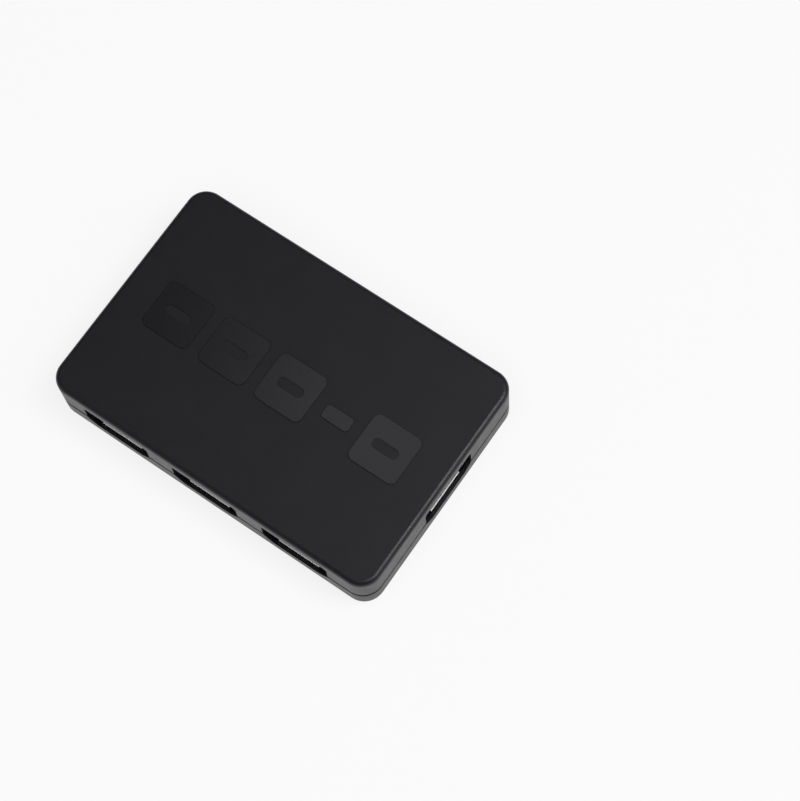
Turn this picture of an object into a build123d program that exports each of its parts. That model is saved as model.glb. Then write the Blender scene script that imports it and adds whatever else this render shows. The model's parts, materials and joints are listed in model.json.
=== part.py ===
from build123d import *

import os

# A small video switch box: three input sockets on its front wall, one output socket on its right wall,
# a select button, receiver window and indicator lamps on its back wall, and a power jack on its left wall.
# Frame: X along the length, Y from the front wall to the back wall, Z up. The origin is the middle of
# the underside. All sizes are in millimetres.

# Case, outside
case_length = 76.6
case_width = 51.0
case_height = 12.8
corner_radius = 4.3
top_edge_radius = 1.1
bottom_edge_radius = 0.8

# Case, walls and the joint between the covers
side_wall = 1.8
top_wall = 1.5
floor_wall = 1.2
seam_height = 4.7
seam_gap = 0.5
lip_depth = 1.0
lip_thickness = 0.8
lip_clearance = 0.05
cut_overrun = 2.0

# Relief on the top: three socket tiles, a joining bar and a fourth tile
relief_height = 0.2
relief_pitch = 13.6
tile_length = 11.2
tile_width = 11.0
tile_corner = 1.6
tile_slot_length = 6.0
tile_slot_width = 2.2
relief_bar_length = 6.4
relief_bar_width = 3.2
relief_edge = 0.08

# Main board
board_thickness = 1.0
board_lift = 1.1
board_margin = 0.4
board_corner_radius = 0.8
lead_clearance = 0.1

# Case screws, their posts in the bottom cover and their bosses in the top cover
screw_inset = 5.2
screw_head_radius = 2.1
screw_head_height = 1.5
screw_shank_radius = 1.15
screw_roof_gap = 1.1
screw_tip_length = 1.2
screw_bore_clearance = 0.03
cross_length = 2.4
cross_width = 0.6
cross_depth = 0.8
head_recess_radius = 2.4
head_recess_depth = 2.0
screw_hole_radius = 1.35
post_radius = 2.9
post_top = 3.6
post_step_radius = 3.8
boss_radius = 2.6
boss_bore_spare = 0.5
post_clearance = 0.3
web_thickness = 0.8
web_lift = 1.6
hold_down_size = 2.0

# Video sockets. Each has a mouth, wide side up, a little behind its wall's face.
input_gap_share = 0.40
input_shift_share = -0.03
output_y_share = 0.0314
input_count = 3
shell_width = 14.6
shell_height = 5.15
shell_depth = 11.1
shell_sheet = 0.3
shoulder_width = 2.2
shoulder_height = 1.4
shell_corner = 0.5
mouth_start = 1.5
mouth_lip_front = 0.92
mouth_lip_width = 9.6
top_lip_flare = 0.35
bottom_lip_flare = 0.15
finger_width = 2.0
finger_length = 5.0
finger_start = 2.4
finger_gap = 0.5
finger_spacing = 5.6
shell_leg_width = 1.2
front_leg_start = 2.9
rear_leg_start = 8.6
shell_leg_below_board = 0.35
back_plate_lift = 1.2
opening_side_gap = 0.4
opening_top_gap = 1.3
opening_bottom_gap = 0.25
opening_corner = 0.9

# Socket insulator and contacts
insulator_root = 6.2
insulator_back = 10.3
insulator_gap = 0.03
tongue_width = 11.4
tongue_thickness = 1.3
tongue_lift = 2.2
tongue_front = 2.2
tongue_nose = 0.35
contact_pitch = 1.0
contact_width = 0.3
contact_thickness = 0.15
contact_proud = 0.05
contact_front = 2.8
contact_foot_end = 11.8
upper_contacts = 10
lower_contacts = 9

# Select button, on the back wall
button_boss_gap = 2.2
button_width = 7.0
button_height = 3.4
button_corner = 1.2
button_proud = 0.8
button_gap = 0.2
button_flange_margin = 0.8
button_flange_lip = 0.4
button_flange_thickness = 0.8
button_stem_radius = 1.0
button_edge = 0.4
button_dish = 0.15
button_stem_length = 0.8
key_travel = 0.25

# Push switch behind the button
switch_width = 6.2
switch_height = 4.4
switch_depth = 3.4
switch_frame_sheet = 0.25
switch_frame_return = 2.0
switch_post_back = 0.9
plunger_radius = 0.8
plunger_reach = 1.1
plunger_flange_radius = 1.35
plunger_flange_thickness = 0.4
plunger_gap = 0.08
dome_radius = 1.7
dome_spare = 0.2
dome_sheet = 0.1
switch_cavity_radius = 2.0
switch_terminal_width = 0.6
switch_terminal_thickness = 0.25
switch_terminal_spacing = 4.5

# Indicator lamps
lamp_count = 3
lamp_pitch = 8.0
lamp_boss_gap = 1.75
lamp_radius = 1.5
lamp_flange_radius = 1.75
lamp_flange_thickness = 0.7
lamp_length = 4.8
lamp_hole_gap = 0.1
lamp_lead = 0.45
lamp_lead_spacing = 1.5
lamp_lead_run = 1.4
lead_below_board = 0.4

# Receiver window and receiver
window_x_share = 0.0522
window_width = 9.0
window_room = 0.35
window_corner_share = 0.27
window_gap = 0.05
window_flange_margin = 0.9
window_flange_thickness = 0.7
receiver_width = 6.4
receiver_head_room = 1.75
receiver_depth = 3.2
receiver_lens_radius = 2.3
receiver_lens_rise = 1.3
receiver_gap = 0.5
receiver_lead = 0.45
receiver_lead_count = 3
receiver_lead_pitch = 2.0
receiver_lift = 0.6

# Power jack
jack_y_share = 0.137
jack_width = 5.6
jack_height = 6.1
jack_depth = 9.4
jack_collar_radius = 2.6
jack_bore_radius = 1.9
jack_bore_depth = 8.0
jack_collar_gap = 0.15
jack_mouth_chamfer = 0.3
jack_pin_radius = 0.65
jack_pin_length = 6.4
jack_pin_root_radius = 0.9
jack_back_sheet = 0.3
jack_contact_width = 1.4
jack_contact_thickness = 0.25
jack_contact_length = 5.4
jack_leg_width = 1.2
jack_leg_thickness = 0.4

# Chips and their leads
lead_thickness = 0.15
chip_lift = 0.1
dot_inset = 0.9
dot_radius = 0.27
switch_chip_size = 10.0
switch_chip_height = 1.4
switch_chip_lead_count = 16
switch_chip_pitch = 0.5
switch_chip_lead_width = 0.22
switch_chip_lead_reach = 1.0
switch_chip_x_share = 0.055
controller_length = 9.9
controller_width = 3.9
controller_height = 1.5
controller_lead_count = 8
controller_pitch = 1.27
controller_lead_width = 0.4
controller_lead_reach = 1.1
controller_x_share = 0.215
controller_y_share = 0.235
memory_length = 4.9
memory_width = 3.9
memory_lead_count = 4
regulator_length = 6.5
regulator_width = 3.5
regulator_height = 1.6
regulator_lead_count = 3
regulator_lead_pitch = 2.3
regulator_lead_width = 0.7
regulator_lead_reach = 1.75
regulator_tab_width = 3.0
power_shift = 1.0

# Small parts on the board, and the least gap that is left between parts
part_gap = 1.0
crystal_length = 11.4
crystal_width = 4.6
crystal_height = 3.2
crystal_base = 0.5
crystal_rim = 0.4
crystal_x_share = -0.11
can_radius = 2.0
can_height = 5.0
can_base_size = 4.3
can_base_thickness = 0.8
can_base_chamfer = 0.9
can_groove = 0.25
chip_part_length = 1.6
chip_part_width = 0.8
capacitor_height = 0.8
resistor_height = 0.45
chip_part_row_pitch = 2.1
chip_part_rows = 3
left_columns = 3
right_columns = 2
back_part_pitch = 3.6
back_parts = 3
protector_length = 3.0
protector_width = 2.0
protector_height = 0.9

# Sizes and places that follow from the sizes above
top_face = case_height - relief_height
ceiling = top_face - top_wall
board_under = floor_wall + board_lift
board_top = board_under + board_thickness
front_wall_y = -case_width / 2
back_wall_y = case_width / 2
left_wall_x = -case_length / 2
right_wall_x = case_length / 2
board_length = case_length - 2 * (side_wall + board_margin)
board_width = case_width - 2 * (side_wall + board_margin)
screw_x = case_length / 2 - screw_inset
screw_y = case_width / 2 - screw_inset
screw_length = ceiling - screw_roof_gap - head_recess_depth
boss_edge_x = screw_x - boss_radius

# The inputs stand between the front bosses, with equal gaps between them.
spare_length = 2 * boss_edge_x - input_count * shell_width
input_pitch = shell_width + input_gap_share * spare_length
input_middle_x = input_shift_share * spare_length
input_xs = [input_middle_x + input_pitch * (i - (input_count - 1) / 2) for i in range(input_count)]
output_middle_y = output_y_share * case_width

# The button stands beside the right boss of the back wall, and the lamps beside the left one.
key_axis_z = board_top + switch_height / 2
dome_rise = key_travel + dome_spare
button_x = boss_edge_x - button_boss_gap - button_flange_margin - button_width / 2
lamp_first_x = -boss_edge_x + lamp_boss_gap + lamp_flange_radius
lamp_xs = [lamp_first_x + lamp_pitch * i for i in range(lamp_count)]
window_x = window_x_share * case_length
window_axis_z = (seam_height + ceiling) / 2
window_height = ceiling - seam_height - 2 * (window_flange_margin + window_room)
window_corner = window_corner_share * window_height
receiver_height = ceiling - receiver_head_room - board_top - receiver_lift
lamp_axis_z = window_axis_z
jack_middle_y = jack_y_share * case_width
pin_x = board_length / 2 - hold_down_size

# On the board, the memory chips stand behind the inputs, and the switch chip behind them.
chip_start_y = front_wall_y + contact_foot_end + part_gap
memory_y = chip_start_y + controller_lead_reach + memory_width / 2
memory_x_shift = -protector_length / 2 - part_gap - memory_length / 2
chip_front_y = memory_y + memory_width / 2 + controller_lead_reach + part_gap
switch_chip_x = switch_chip_x_share * board_length
switch_chip_y = chip_front_y + switch_chip_lead_reach + switch_chip_size / 2
controller_x = controller_x_share * board_length
controller_y = controller_y_share * case_width

# Lamp resistors stand before the lamps' leads, then the crystal and one can. The other can stands behind
# the inputs, with the regulator between the cans.
lamp_resistor_y = back_wall_y - lamp_length - lamp_lead_run - part_gap - chip_part_width / 2
back_row_y = lamp_resistor_y - chip_part_width / 2 - part_gap
crystal_x = crystal_x_share * board_length
crystal_y = back_row_y - crystal_width / 2 - crystal_rim
power_x = input_xs[0] + power_shift
front_can_y = chip_start_y + protector_width + part_gap + can_base_size / 2
back_can_y = back_row_y - can_base_size / 2
regulator_y = (front_can_y + back_can_y) / 2


def slab(x_low, x_high, y_low, y_high, z_low, z_high):
    """A block between six planes."""
    sizes = (x_high - x_low, y_high - y_low, z_high - z_low)
    return Pos(x_low, y_low, z_low) * Box(*sizes, align=(Align.MIN, Align.MIN, Align.MIN))


def rod(radius, z_low, z_high):
    """An upright cylinder on the Z axis."""
    aligned = (Align.CENTER, Align.CENTER, Align.MIN)
    return Pos(0, 0, z_low) * Cylinder(radius, z_high - z_low, align=aligned)


def rod_along_y(radius, y_low, y_high, x=0, z=0):
    """A cylinder that lies along Y."""
    return Pos(x, y_high, z) * Rot(90, 0, 0) * rod(radius, 0, y_high - y_low)


def case_slice(inset, z_low, z_high):
    """The case outline, drawn in by an inset, between two heights."""
    outline = RectangleRounded(case_length - 2 * inset, case_width - 2 * inset, corner_radius - inset)
    return Pos(0, 0, z_low) * extrude(outline, z_high - z_low)


def oblong_along_y(width, height, radius, y_low, y_high, x=0, z=0):
    """A block with rounded edges that lies along Y."""
    outline = Plane.XZ * RectangleRounded(width, height, radius)
    return Pos(x, y_low, z) * extrude(outline, -(y_high - y_low))


def port_prism(width, height, shoulder, shoulder_rise, corner, y_low, y_high, z_low=0):
    """The outline of a video socket, with its wide side up and sloping shoulders below, run along Y."""
    half = width / 2
    points = [
        (-half + shoulder, 0),
        (half - shoulder, 0),
        (half, shoulder_rise),
        (half, height),
        (-half, height),
        (-half, shoulder_rise),
    ]
    face = make_face(Polyline(*points, close=True))
    face = fillet(face.vertices().group_by(Axis.Y)[-1], corner)
    return Pos(0, y_low, z_low) * extrude(Plane.XZ * face, -(y_high - y_low))


def at_input(piece, index):
    """A socket piece placed on the front wall."""
    return Pos(input_xs[index], front_wall_y, board_top) * piece


def at_output(piece):
    """A socket piece placed on the right wall."""
    return Pos(right_wall_x, output_middle_y, board_top) * Rot(0, 0, 90) * piece


def at_jack(piece):
    """A power jack piece placed on the left wall."""
    return Pos(left_wall_x, jack_middle_y, board_top) * Rot(0, 0, -90) * piece


def at_each_socket(piece):
    """Copies of a socket piece at all four sockets."""
    return [at_input(piece, i) for i in range(input_count)] + [at_output(piece)]


def at_each_screw(piece):
    """Copies of a piece at the four case screws."""
    return [Pos(x, y, 0) * piece for x in (-screw_x, screw_x) for y in (-screw_y, screw_y)]


def cut_all(body, tools):
    """A body with each tool taken away."""
    for tool in tools:
        body = body - tool
    return body


def join_all(body, pieces):
    """A body with each piece fused to it."""
    for piece in pieces:
        body = body + piece
    return body


def group(solids):
    """Separate like solids kept together in one node."""
    return Compound(children=[solid for item in solids for solid in item.solids()])


# Openings through the walls

def socket_opening():
    """The hole in a wall round a video socket, in the socket's own frame."""
    return port_prism(
        shell_width + 2 * opening_side_gap,
        shell_height + opening_top_gap + opening_bottom_gap,
        shoulder_width,
        shoulder_height,
        opening_corner,
        -cut_overrun,
        side_wall + cut_overrun / 2,
        -opening_bottom_gap,
    )


def wall_openings():
    """All holes through the side walls."""
    hole_start = back_wall_y - side_wall - cut_overrun
    button_hole = oblong_along_y(
        button_width + 2 * button_gap,
        button_height + 2 * button_gap,
        button_corner + button_gap,
        hole_start,
        back_wall_y + cut_overrun,
        button_x,
        key_axis_z,
    )
    window_hole = oblong_along_y(
        window_width + 2 * window_gap,
        window_height + 2 * window_gap,
        window_corner + window_gap,
        hole_start,
        back_wall_y + cut_overrun,
        window_x,
        window_axis_z,
    )
    lamp_holes = [
        rod_along_y(lamp_radius + lamp_hole_gap, hole_start, back_wall_y + cut_overrun, x, lamp_axis_z)
        for x in lamp_xs
    ]
    jack_hole_radius = jack_collar_radius + jack_collar_gap
    jack_hole = at_jack(
        rod_along_y(jack_hole_radius, -cut_overrun, side_wall + cut_overrun / 2, 0, jack_height / 2)
    )
    return at_each_socket(socket_opening()) + [button_hole, window_hole, jack_hole] + lamp_holes


# Covers

def case_blank():
    """The whole outside of the case, with its rounded edges."""
    blank = case_slice(0, 0, top_face)
    blank = fillet(blank.faces().sort_by(Axis.Z)[-1].edges(), top_edge_radius)
    return fillet(blank.faces().sort_by(Axis.Z)[0].edges(), bottom_edge_radius)


def relief_tile():
    """A raised tile with a slot in its middle, on the top face."""
    tile = extrude(RectangleRounded(tile_length, tile_width, tile_corner), relief_height)
    tile = chamfer(tile.faces().sort_by(Axis.Z)[-1].edges(), relief_edge)
    slot = extrude(SlotOverall(tile_slot_length, tile_slot_width), relief_height)
    return tile - slot


def relief():
    """The raised row on the top: three tiles, a bar and a last tile."""
    outline = RectangleRounded(relief_bar_length, relief_bar_width, relief_bar_width / 4)
    bar = extrude(outline, relief_height)
    bar = chamfer(bar.faces().sort_by(Axis.Z)[-1].edges(), relief_edge)
    gap = relief_pitch - tile_length
    row_length = input_count * relief_pitch + relief_bar_length + gap + tile_length
    first_x = -row_length / 2 + tile_length / 2
    tile_xs = [first_x + relief_pitch * i for i in range(input_count)]
    bar_x = tile_xs[-1] + tile_length / 2 + gap + relief_bar_length / 2
    last_x = row_length / 2 - tile_length / 2
    pieces = [Pos(x, 0, top_face) * relief_tile() for x in tile_xs + [last_x]]
    return pieces + [Pos(bar_x, 0, top_face) * bar]


def boss_webs(x_sign, y_sign):
    """Two thin webs that tie a screw boss to the walls beside it."""
    low = post_top + web_lift
    half = web_thickness / 2
    boss_x, boss_y = x_sign * screw_x, y_sign * screw_y
    wall_x = x_sign * (case_length / 2 - side_wall / 2)
    wall_y = y_sign * (case_width / 2 - side_wall / 2)
    reach_x = x_sign * (screw_x + boss_radius - web_thickness)
    reach_y = y_sign * (screw_y + boss_radius - web_thickness)
    along_x = slab(min(reach_x, wall_x), max(reach_x, wall_x), boss_y - half, boss_y + half, low, ceiling)
    along_y = slab(boss_x - half, boss_x + half, min(reach_y, wall_y), max(reach_y, wall_y), low, ceiling)
    return [along_x, along_y]


def pin_spots():
    """Places beside the jack and beside the output socket where pins and pads grip the board."""
    jack_reach = jack_width / 2 + part_gap + hold_down_size / 2
    output_reach = shell_width / 2 + part_gap + hold_down_size / 2
    left = [(-pin_x, jack_middle_y + side * jack_reach) for side in (-1, 1)]
    right = [(pin_x, output_middle_y + side * output_reach) for side in (-1, 1)]
    return left + right


def square_pins(low, high):
    """Square pins at the gripping places, between two heights."""
    half = hold_down_size / 2
    return [slab(x - half, x + half, y - half, y + half, low, high) for x, y in pin_spots()]


def make_top_cover():
    """Upper shell: roof, side walls, lip, screw bosses, hold-down pins and the relief on its top."""
    seam_top = seam_height + seam_gap
    outer = case_blank() & case_slice(-cut_overrun, seam_top, case_height + cut_overrun)
    cover = outer - case_slice(side_wall, 0, ceiling)
    lip_inset = side_wall - lip_thickness + lip_clearance
    lip = case_slice(lip_inset, seam_height - lip_depth, seam_top) - case_slice(side_wall, 0, ceiling)
    boss = rod(boss_radius, post_top, ceiling)
    cover = join_all(cover + lip, at_each_screw(boss) + square_pins(board_top, ceiling))
    for x_sign in (-1, 1):
        for y_sign in (-1, 1):
            cover = join_all(cover, boss_webs(x_sign, y_sign))
    screw_end = head_recess_depth + screw_length + boss_bore_spare
    bore = rod(screw_shank_radius + screw_bore_clearance, post_top - cut_overrun, screw_end)
    cover = cut_all(cover, at_each_screw(bore) + wall_openings())
    return join_all(cover, relief())


def make_bottom_cover():
    """Lower shell: floor, side walls with a rabbet for the lip, and stepped screw posts under the board."""
    outer = case_blank() & case_slice(-cut_overrun, -cut_overrun, seam_height)
    cover = outer - case_slice(side_wall, floor_wall, case_height)
    rabbet = case_slice(side_wall - lip_thickness, seam_height - lip_depth, case_height)
    cover = cover - (rabbet - case_slice(side_wall, 0, case_height))
    inside = case_slice(side_wall, 0, case_height)
    step = rod(post_step_radius, 0, board_under)
    post = rod(post_radius, 0, post_top)
    above_edge = case_slice(side_wall / 2, floor_wall / 2, case_height)
    for placed in at_each_screw(step + post):
        cover = cover + (placed & inside & above_edge)
    cover = join_all(cover, square_pins(floor_wall / 2, board_under))
    recess = rod(head_recess_radius, -cut_overrun, head_recess_depth)
    hole = rod(screw_hole_radius, 0, post_top + cut_overrun)
    return cut_all(cover, at_each_screw(recess + hole) + wall_openings())


def make_case_screw():
    """A self-tapping screw, head down, with a cross in its head."""
    head_low = head_recess_depth - screw_head_height
    head = rod(screw_head_radius, head_low, head_recess_depth)
    head = chamfer(head.faces().sort_by(Axis.Z)[0].edges(), screw_head_height / 3)
    half_long, half_wide = cross_length / 2, cross_width / 2
    cross_low, cross_high = head_low - cut_overrun, head_low + cross_depth
    head = head - slab(-half_long, half_long, -half_wide, half_wide, cross_low, cross_high)
    head = head - slab(-half_wide, half_wide, -half_long, half_long, cross_low, cross_high)
    shank_top = head_recess_depth + screw_length
    shank = rod(screw_shank_radius, head_recess_depth, shank_top)
    shank = chamfer(shank.faces().sort_by(Axis.Z)[-1].edges(), screw_tip_length, screw_shank_radius * 2 / 3)
    return head + shank


# Board

def make_main_board(through_leads):
    """The circuit board, notched round the screw posts, with a hole for every lead that goes through it."""
    half_x, half_y = board_length / 2, board_width / 2
    board = slab(-half_x, half_x, -half_y, half_y, board_under, board_top)
    notch_x = screw_x - post_radius - post_clearance
    notch_y = screw_y - post_radius - post_clearance
    for x_sign in (-1, 1):
        for y_sign in (-1, 1):
            far_x, far_y = x_sign * case_length, y_sign * case_width
            near_x, near_y = x_sign * notch_x, y_sign * notch_y
            low_x, high_x = min(near_x, far_x), max(near_x, far_x)
            low_y, high_y = min(near_y, far_y), max(near_y, far_y)
            board = board - slab(low_x, high_x, low_y, high_y, 0, case_height)
    board = fillet(board.edges().filter_by(Axis.Z), board_corner_radius)
    for lead in through_leads:
        box = lead.bounding_box()
        board = board - slab(
            box.min.X - lead_clearance,
            box.max.X + lead_clearance,
            box.min.Y - lead_clearance,
            box.max.Y + lead_clearance,
            board_under - cut_overrun,
            board_top + cut_overrun,
        )
    return board


# Video socket, in its own frame: wall face at Y 0, opening towards -Y, standing on Z 0

def shell_legs():
    """Four legs that hold a socket shell in the board."""
    low = -board_thickness - shell_leg_below_board
    legs = []
    for side in (-1, 1):
        inner, outer = side * (shell_width / 2 - shell_sheet), side * shell_width / 2
        low_x, high_x = min(inner, outer), max(inner, outer)
        for start in (front_leg_start, rear_leg_start):
            legs.append(slab(low_x, high_x, start, start + shell_leg_width, low, shell_height / 2))
    return legs


def mouth_lips():
    """The two sheet lips that flare out in the middle of the mouth's top and bottom."""
    lips = []
    for low, flare in ((shell_height - shell_sheet, top_lip_flare), (0, -bottom_lip_flare)):
        side = Plane.YZ * make_face(
            Polyline(
                (mouth_start, low),
                (mouth_lip_front, low + flare),
                (mouth_lip_front, low + flare + shell_sheet),
                (mouth_start, low + shell_sheet),
                close=True,
            )
        )
        lips.append(extrude(side, mouth_lip_width / 2, both=True))
    return lips


def shell_tube(grow, y_low, y_high):
    """The socket outline, drawn in by a sheet of metal or more."""
    # The sloping shoulder moves in by the same thickness as the flat walls do.
    slope = (shoulder_width**2 + shoulder_height**2) ** 0.5
    spare = grow * (shoulder_width + shoulder_height - slope) / shoulder_height
    return port_prism(
        shell_width - 2 * grow,
        shell_height - 2 * grow,
        shoulder_width - spare,
        (shoulder_width - spare) * shoulder_height / shoulder_width,
        max(shell_corner - grow, shell_sheet / 2),
        y_low,
        y_high,
        grow,
    )


def make_socket_shell():
    """The folded steel shell of a video socket: tube, back plate, spring fingers, mouth lips and legs."""
    tube = shell_tube(0, mouth_start, shell_depth)
    shell = tube - shell_tube(shell_sheet, -cut_overrun, shell_depth - shell_sheet)
    # The back plate stops short of the board, so that the contacts pass under it.
    shell = shell - slab(
        -shell_width, shell_width, insulator_back, shell_depth + cut_overrun, -cut_overrun, back_plate_lift
    )
    top_low, top_high = shell_height - shell_sheet - shell_sheet, shell_height + cut_overrun
    for side in (-1, 1):
        middle = side * finger_spacing / 2
        start, end = finger_start, finger_start + finger_length
        inner, outer = finger_width / 2, finger_width / 2 + finger_gap
        shell = shell - slab(middle - outer, middle - inner, start, end, top_low, top_high)
        shell = shell - slab(middle + inner, middle + outer, start, end, top_low, top_high)
        shell = shell - slab(middle - outer, middle + outer, start, start + finger_gap, top_low, top_high)
    return join_all(shell, mouth_lips() + shell_legs())


def contact_strip(upper):
    """One contact: a strip along the tongue, a drop behind the insulator and a foot on the board."""
    half = contact_width / 2
    if upper:
        high = tongue_lift + tongue_thickness + contact_proud
    else:
        high = tongue_lift + contact_thickness - contact_proud
    back = insulator_back + contact_thickness
    run = slab(-half, half, contact_front, back, high - contact_thickness, high)
    drop = slab(-half, half, insulator_back, back, 0, high)
    foot = slab(-half, half, insulator_back, contact_foot_end, 0, contact_thickness)
    return run + drop + foot


def make_socket_contacts():
    """The two rows of contacts of a video socket."""
    strips = []
    for count, upper in ((upper_contacts, True), (lower_contacts, False)):
        for i in range(count):
            strips.append(Pos((i - (count - 1) / 2) * contact_pitch, 0, 0) * contact_strip(upper))
    return strips


def make_socket_insulator():
    """The insulator: a block that fills the back of the shell, and the tongue that holds the contacts."""
    block = shell_tube(shell_sheet + insulator_gap, insulator_root, insulator_back)
    half = tongue_width / 2
    tongue = slab(-half, half, tongue_front, insulator_root, tongue_lift, tongue_lift + tongue_thickness)
    tongue = chamfer(tongue.faces().sort_by(Axis.Y)[0].edges(), tongue_nose)
    insulator = block + tongue
    grooves = []
    for count, upper in ((upper_contacts, True), (lower_contacts, False)):
        if upper:
            low = tongue_lift + tongue_thickness + contact_proud - contact_thickness
        else:
            low = tongue_lift - contact_proud
        for i in range(count):
            x = (i - (count - 1) / 2) * contact_pitch
            grooves.append(
                slab(
                    x - contact_width / 2,
                    x + contact_width / 2,
                    contact_front,
                    insulator_back + cut_overrun,
                    low,
                    low + contact_thickness,
                )
            )
    return cut_all(insulator, grooves)


# Select button and its push switch, on the back wall

switch_face_y = back_wall_y - side_wall - button_flange_thickness - button_stem_length - plunger_reach
switch_back_y = switch_face_y - switch_depth


def make_select_button():
    """The button cap with a flange behind the wall and a stem that reaches the plunger."""
    cap_face = back_wall_y + button_proud
    flange_front = back_wall_y - side_wall
    cap = oblong_along_y(
        button_width, button_height, button_corner, flange_front, cap_face, button_x, key_axis_z
    )
    cap = fillet(cap.faces().sort_by(Axis.Y)[-1].edges(), button_edge)
    flange = oblong_along_y(
        button_width + 2 * button_flange_margin,
        button_height + 2 * button_flange_lip,
        button_corner,
        flange_front - button_flange_thickness,
        flange_front,
        button_x,
        key_axis_z,
    )
    stem = rod_along_y(
        button_stem_radius,
        switch_face_y + plunger_reach,
        flange_front - button_flange_thickness / 2,
        button_x,
        key_axis_z,
    )
    # The finger dish is a shallow hollow as wide as the cap's flat.
    half_chord = button_width / 2 - button_edge
    dish_radius = (half_chord**2 + button_dish**2) / (2 * button_dish)
    dish = Pos(button_x, cap_face - button_dish + dish_radius, 0) * rod(dish_radius, 0, case_height)
    return cap + flange + stem - dish


def make_switch_plunger():
    """The plunger of the push switch, with a flange inside and the dome against its back."""
    flange_front = switch_face_y - switch_frame_sheet
    body = rod_along_y(plunger_radius, flange_front, switch_face_y + plunger_reach, button_x, key_axis_z)
    flange = rod_along_y(
        plunger_flange_radius, flange_front - plunger_flange_thickness, flange_front, button_x, key_axis_z
    )
    return body + flange


def make_switch_base():
    """The moulded base of the push switch, with a round well for the dome and plunger."""
    half = switch_width / 2
    front = switch_face_y - switch_frame_sheet
    high = board_top + switch_height
    base = slab(button_x - half, button_x + half, switch_back_y, front, board_top, high)
    well_depth = plunger_flange_thickness + dome_rise + dome_sheet
    well = rod_along_y(switch_cavity_radius, front - well_depth, front + cut_overrun, button_x, key_axis_z)
    return base - well


def make_switch_frame():
    """The steel frame that closes the push switch and holds it to the board."""
    half = switch_width / 2
    front = switch_face_y - switch_frame_sheet
    high = board_top + switch_height
    plate = slab(button_x - half, button_x + half, front, switch_face_y, board_top, high)
    plate = plate - rod_along_y(
        plunger_radius + plunger_gap, front - cut_overrun, switch_face_y + cut_overrun, button_x, key_axis_z
    )
    for side in (-1, 1):
        inner = button_x + side * half
        outer = button_x + side * (half + switch_frame_sheet)
        low_x, high_x = min(inner, outer), max(inner, outer)
        plate = plate + slab(low_x, high_x, front - switch_frame_return, switch_face_y, board_top, high)
        plate = plate + slab(
            low_x,
            high_x,
            front - switch_frame_return,
            front - switch_frame_return + switch_post_back,
            board_under - lead_below_board,
            high,
        )
    return plate


def make_switch_dome():
    """The snap dome that pushes the plunger back: a shallow cap of a thin ball."""
    crown = switch_face_y - switch_frame_sheet - plunger_flange_thickness
    ball = (dome_radius**2 + dome_rise**2) / (2 * dome_rise)
    hollow = Sphere(ball) - Sphere(ball - dome_sheet)
    cap = hollow & rod_along_y(dome_radius, ball - dome_rise - dome_sheet, ball + dome_sheet)
    return Pos(button_x, crown - ball, key_axis_z) * cap


def make_switch_terminals():
    """The two bent terminals at the back of the push switch."""
    half = switch_terminal_width / 2
    terminals = []
    for side in (-1, 1):
        x = button_x + side * switch_terminal_spacing / 2
        back = switch_back_y - switch_terminal_thickness
        low = board_under - lead_below_board
        high = board_top + switch_height / 2
        terminals.append(slab(x - half, x + half, back, switch_back_y, low, high))
    return terminals


# Indicator lamps

def make_lamp_lens():
    """A round lamp lens with a domed tip at the wall's outer face and a flange at its back."""
    back = back_wall_y - lamp_length
    body = rod_along_y(lamp_radius, back, back_wall_y - lamp_radius, 0, lamp_axis_z)
    tip = Pos(0, back_wall_y - lamp_radius, lamp_axis_z) * Sphere(lamp_radius)
    flange = rod_along_y(lamp_flange_radius, back, back + lamp_flange_thickness, 0, lamp_axis_z)
    return body + tip + flange


def make_lamp_leads():
    """Two bent leads from the back of a lamp down through the board."""
    half = lamp_lead / 2
    back = back_wall_y - lamp_length
    end = back - lamp_lead_run
    low, high = board_under - lead_below_board, lamp_axis_z + half
    leads = []
    for side in (-1, 1):
        x = side * lamp_lead_spacing / 2
        run = slab(x - half, x + half, end, back, lamp_axis_z - half, high)
        drop = slab(x - half, x + half, end, end + lamp_lead, low, high)
        leads.append(run + drop)
    return leads


# Receiver window and receiver

def make_receiver_window():
    """The dark window, flush with the back wall, with a flange behind the wall."""
    inner_face = back_wall_y - side_wall
    pane = oblong_along_y(
        window_width, window_height, window_corner, inner_face, back_wall_y, window_x, window_axis_z
    )
    flange = oblong_along_y(
        window_width + 2 * window_flange_margin,
        window_height + 2 * window_flange_margin,
        window_corner,
        inner_face - window_flange_thickness,
        inner_face,
        window_x,
        window_axis_z,
    )
    return pane + flange


receiver_face_y = back_wall_y - side_wall - window_flange_thickness - receiver_gap - receiver_lens_rise


def make_receiver():
    """The receiver: a block with a shallow round lens that faces the window."""
    half = receiver_width / 2
    low = board_top + receiver_lift
    high = low + receiver_height
    back = receiver_face_y - receiver_depth
    block = slab(window_x - half, window_x + half, back, receiver_face_y, low, high)
    # The lens is the cap of a ball that stands out by the lens rise.
    ball = (receiver_lens_radius**2 + receiver_lens_rise**2) / (2 * receiver_lens_rise)
    lens = Pos(window_x, receiver_face_y + receiver_lens_rise - ball, (low + high) / 2) * Sphere(ball)
    lens_zone_end = receiver_face_y + 2 * receiver_lens_rise
    front = slab(window_x - half, window_x + half, receiver_face_y, lens_zone_end, low, high)
    return block + (lens & front)


def make_receiver_leads():
    """The leads from the foot of the receiver down through the board."""
    half = receiver_lead / 2
    middle_y = receiver_face_y - receiver_depth / 2
    low = board_under - lead_below_board
    leads = []
    high = board_top + receiver_lift
    for i in range(receiver_lead_count):
        x = window_x + (i - (receiver_lead_count - 1) / 2) * receiver_lead_pitch
        leads.append(slab(x - half, x + half, middle_y - half, middle_y + half, low, high))
    return leads


# Power jack, in its own frame: mouth at Y 0, opening towards -Y, standing on Z 0

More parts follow.
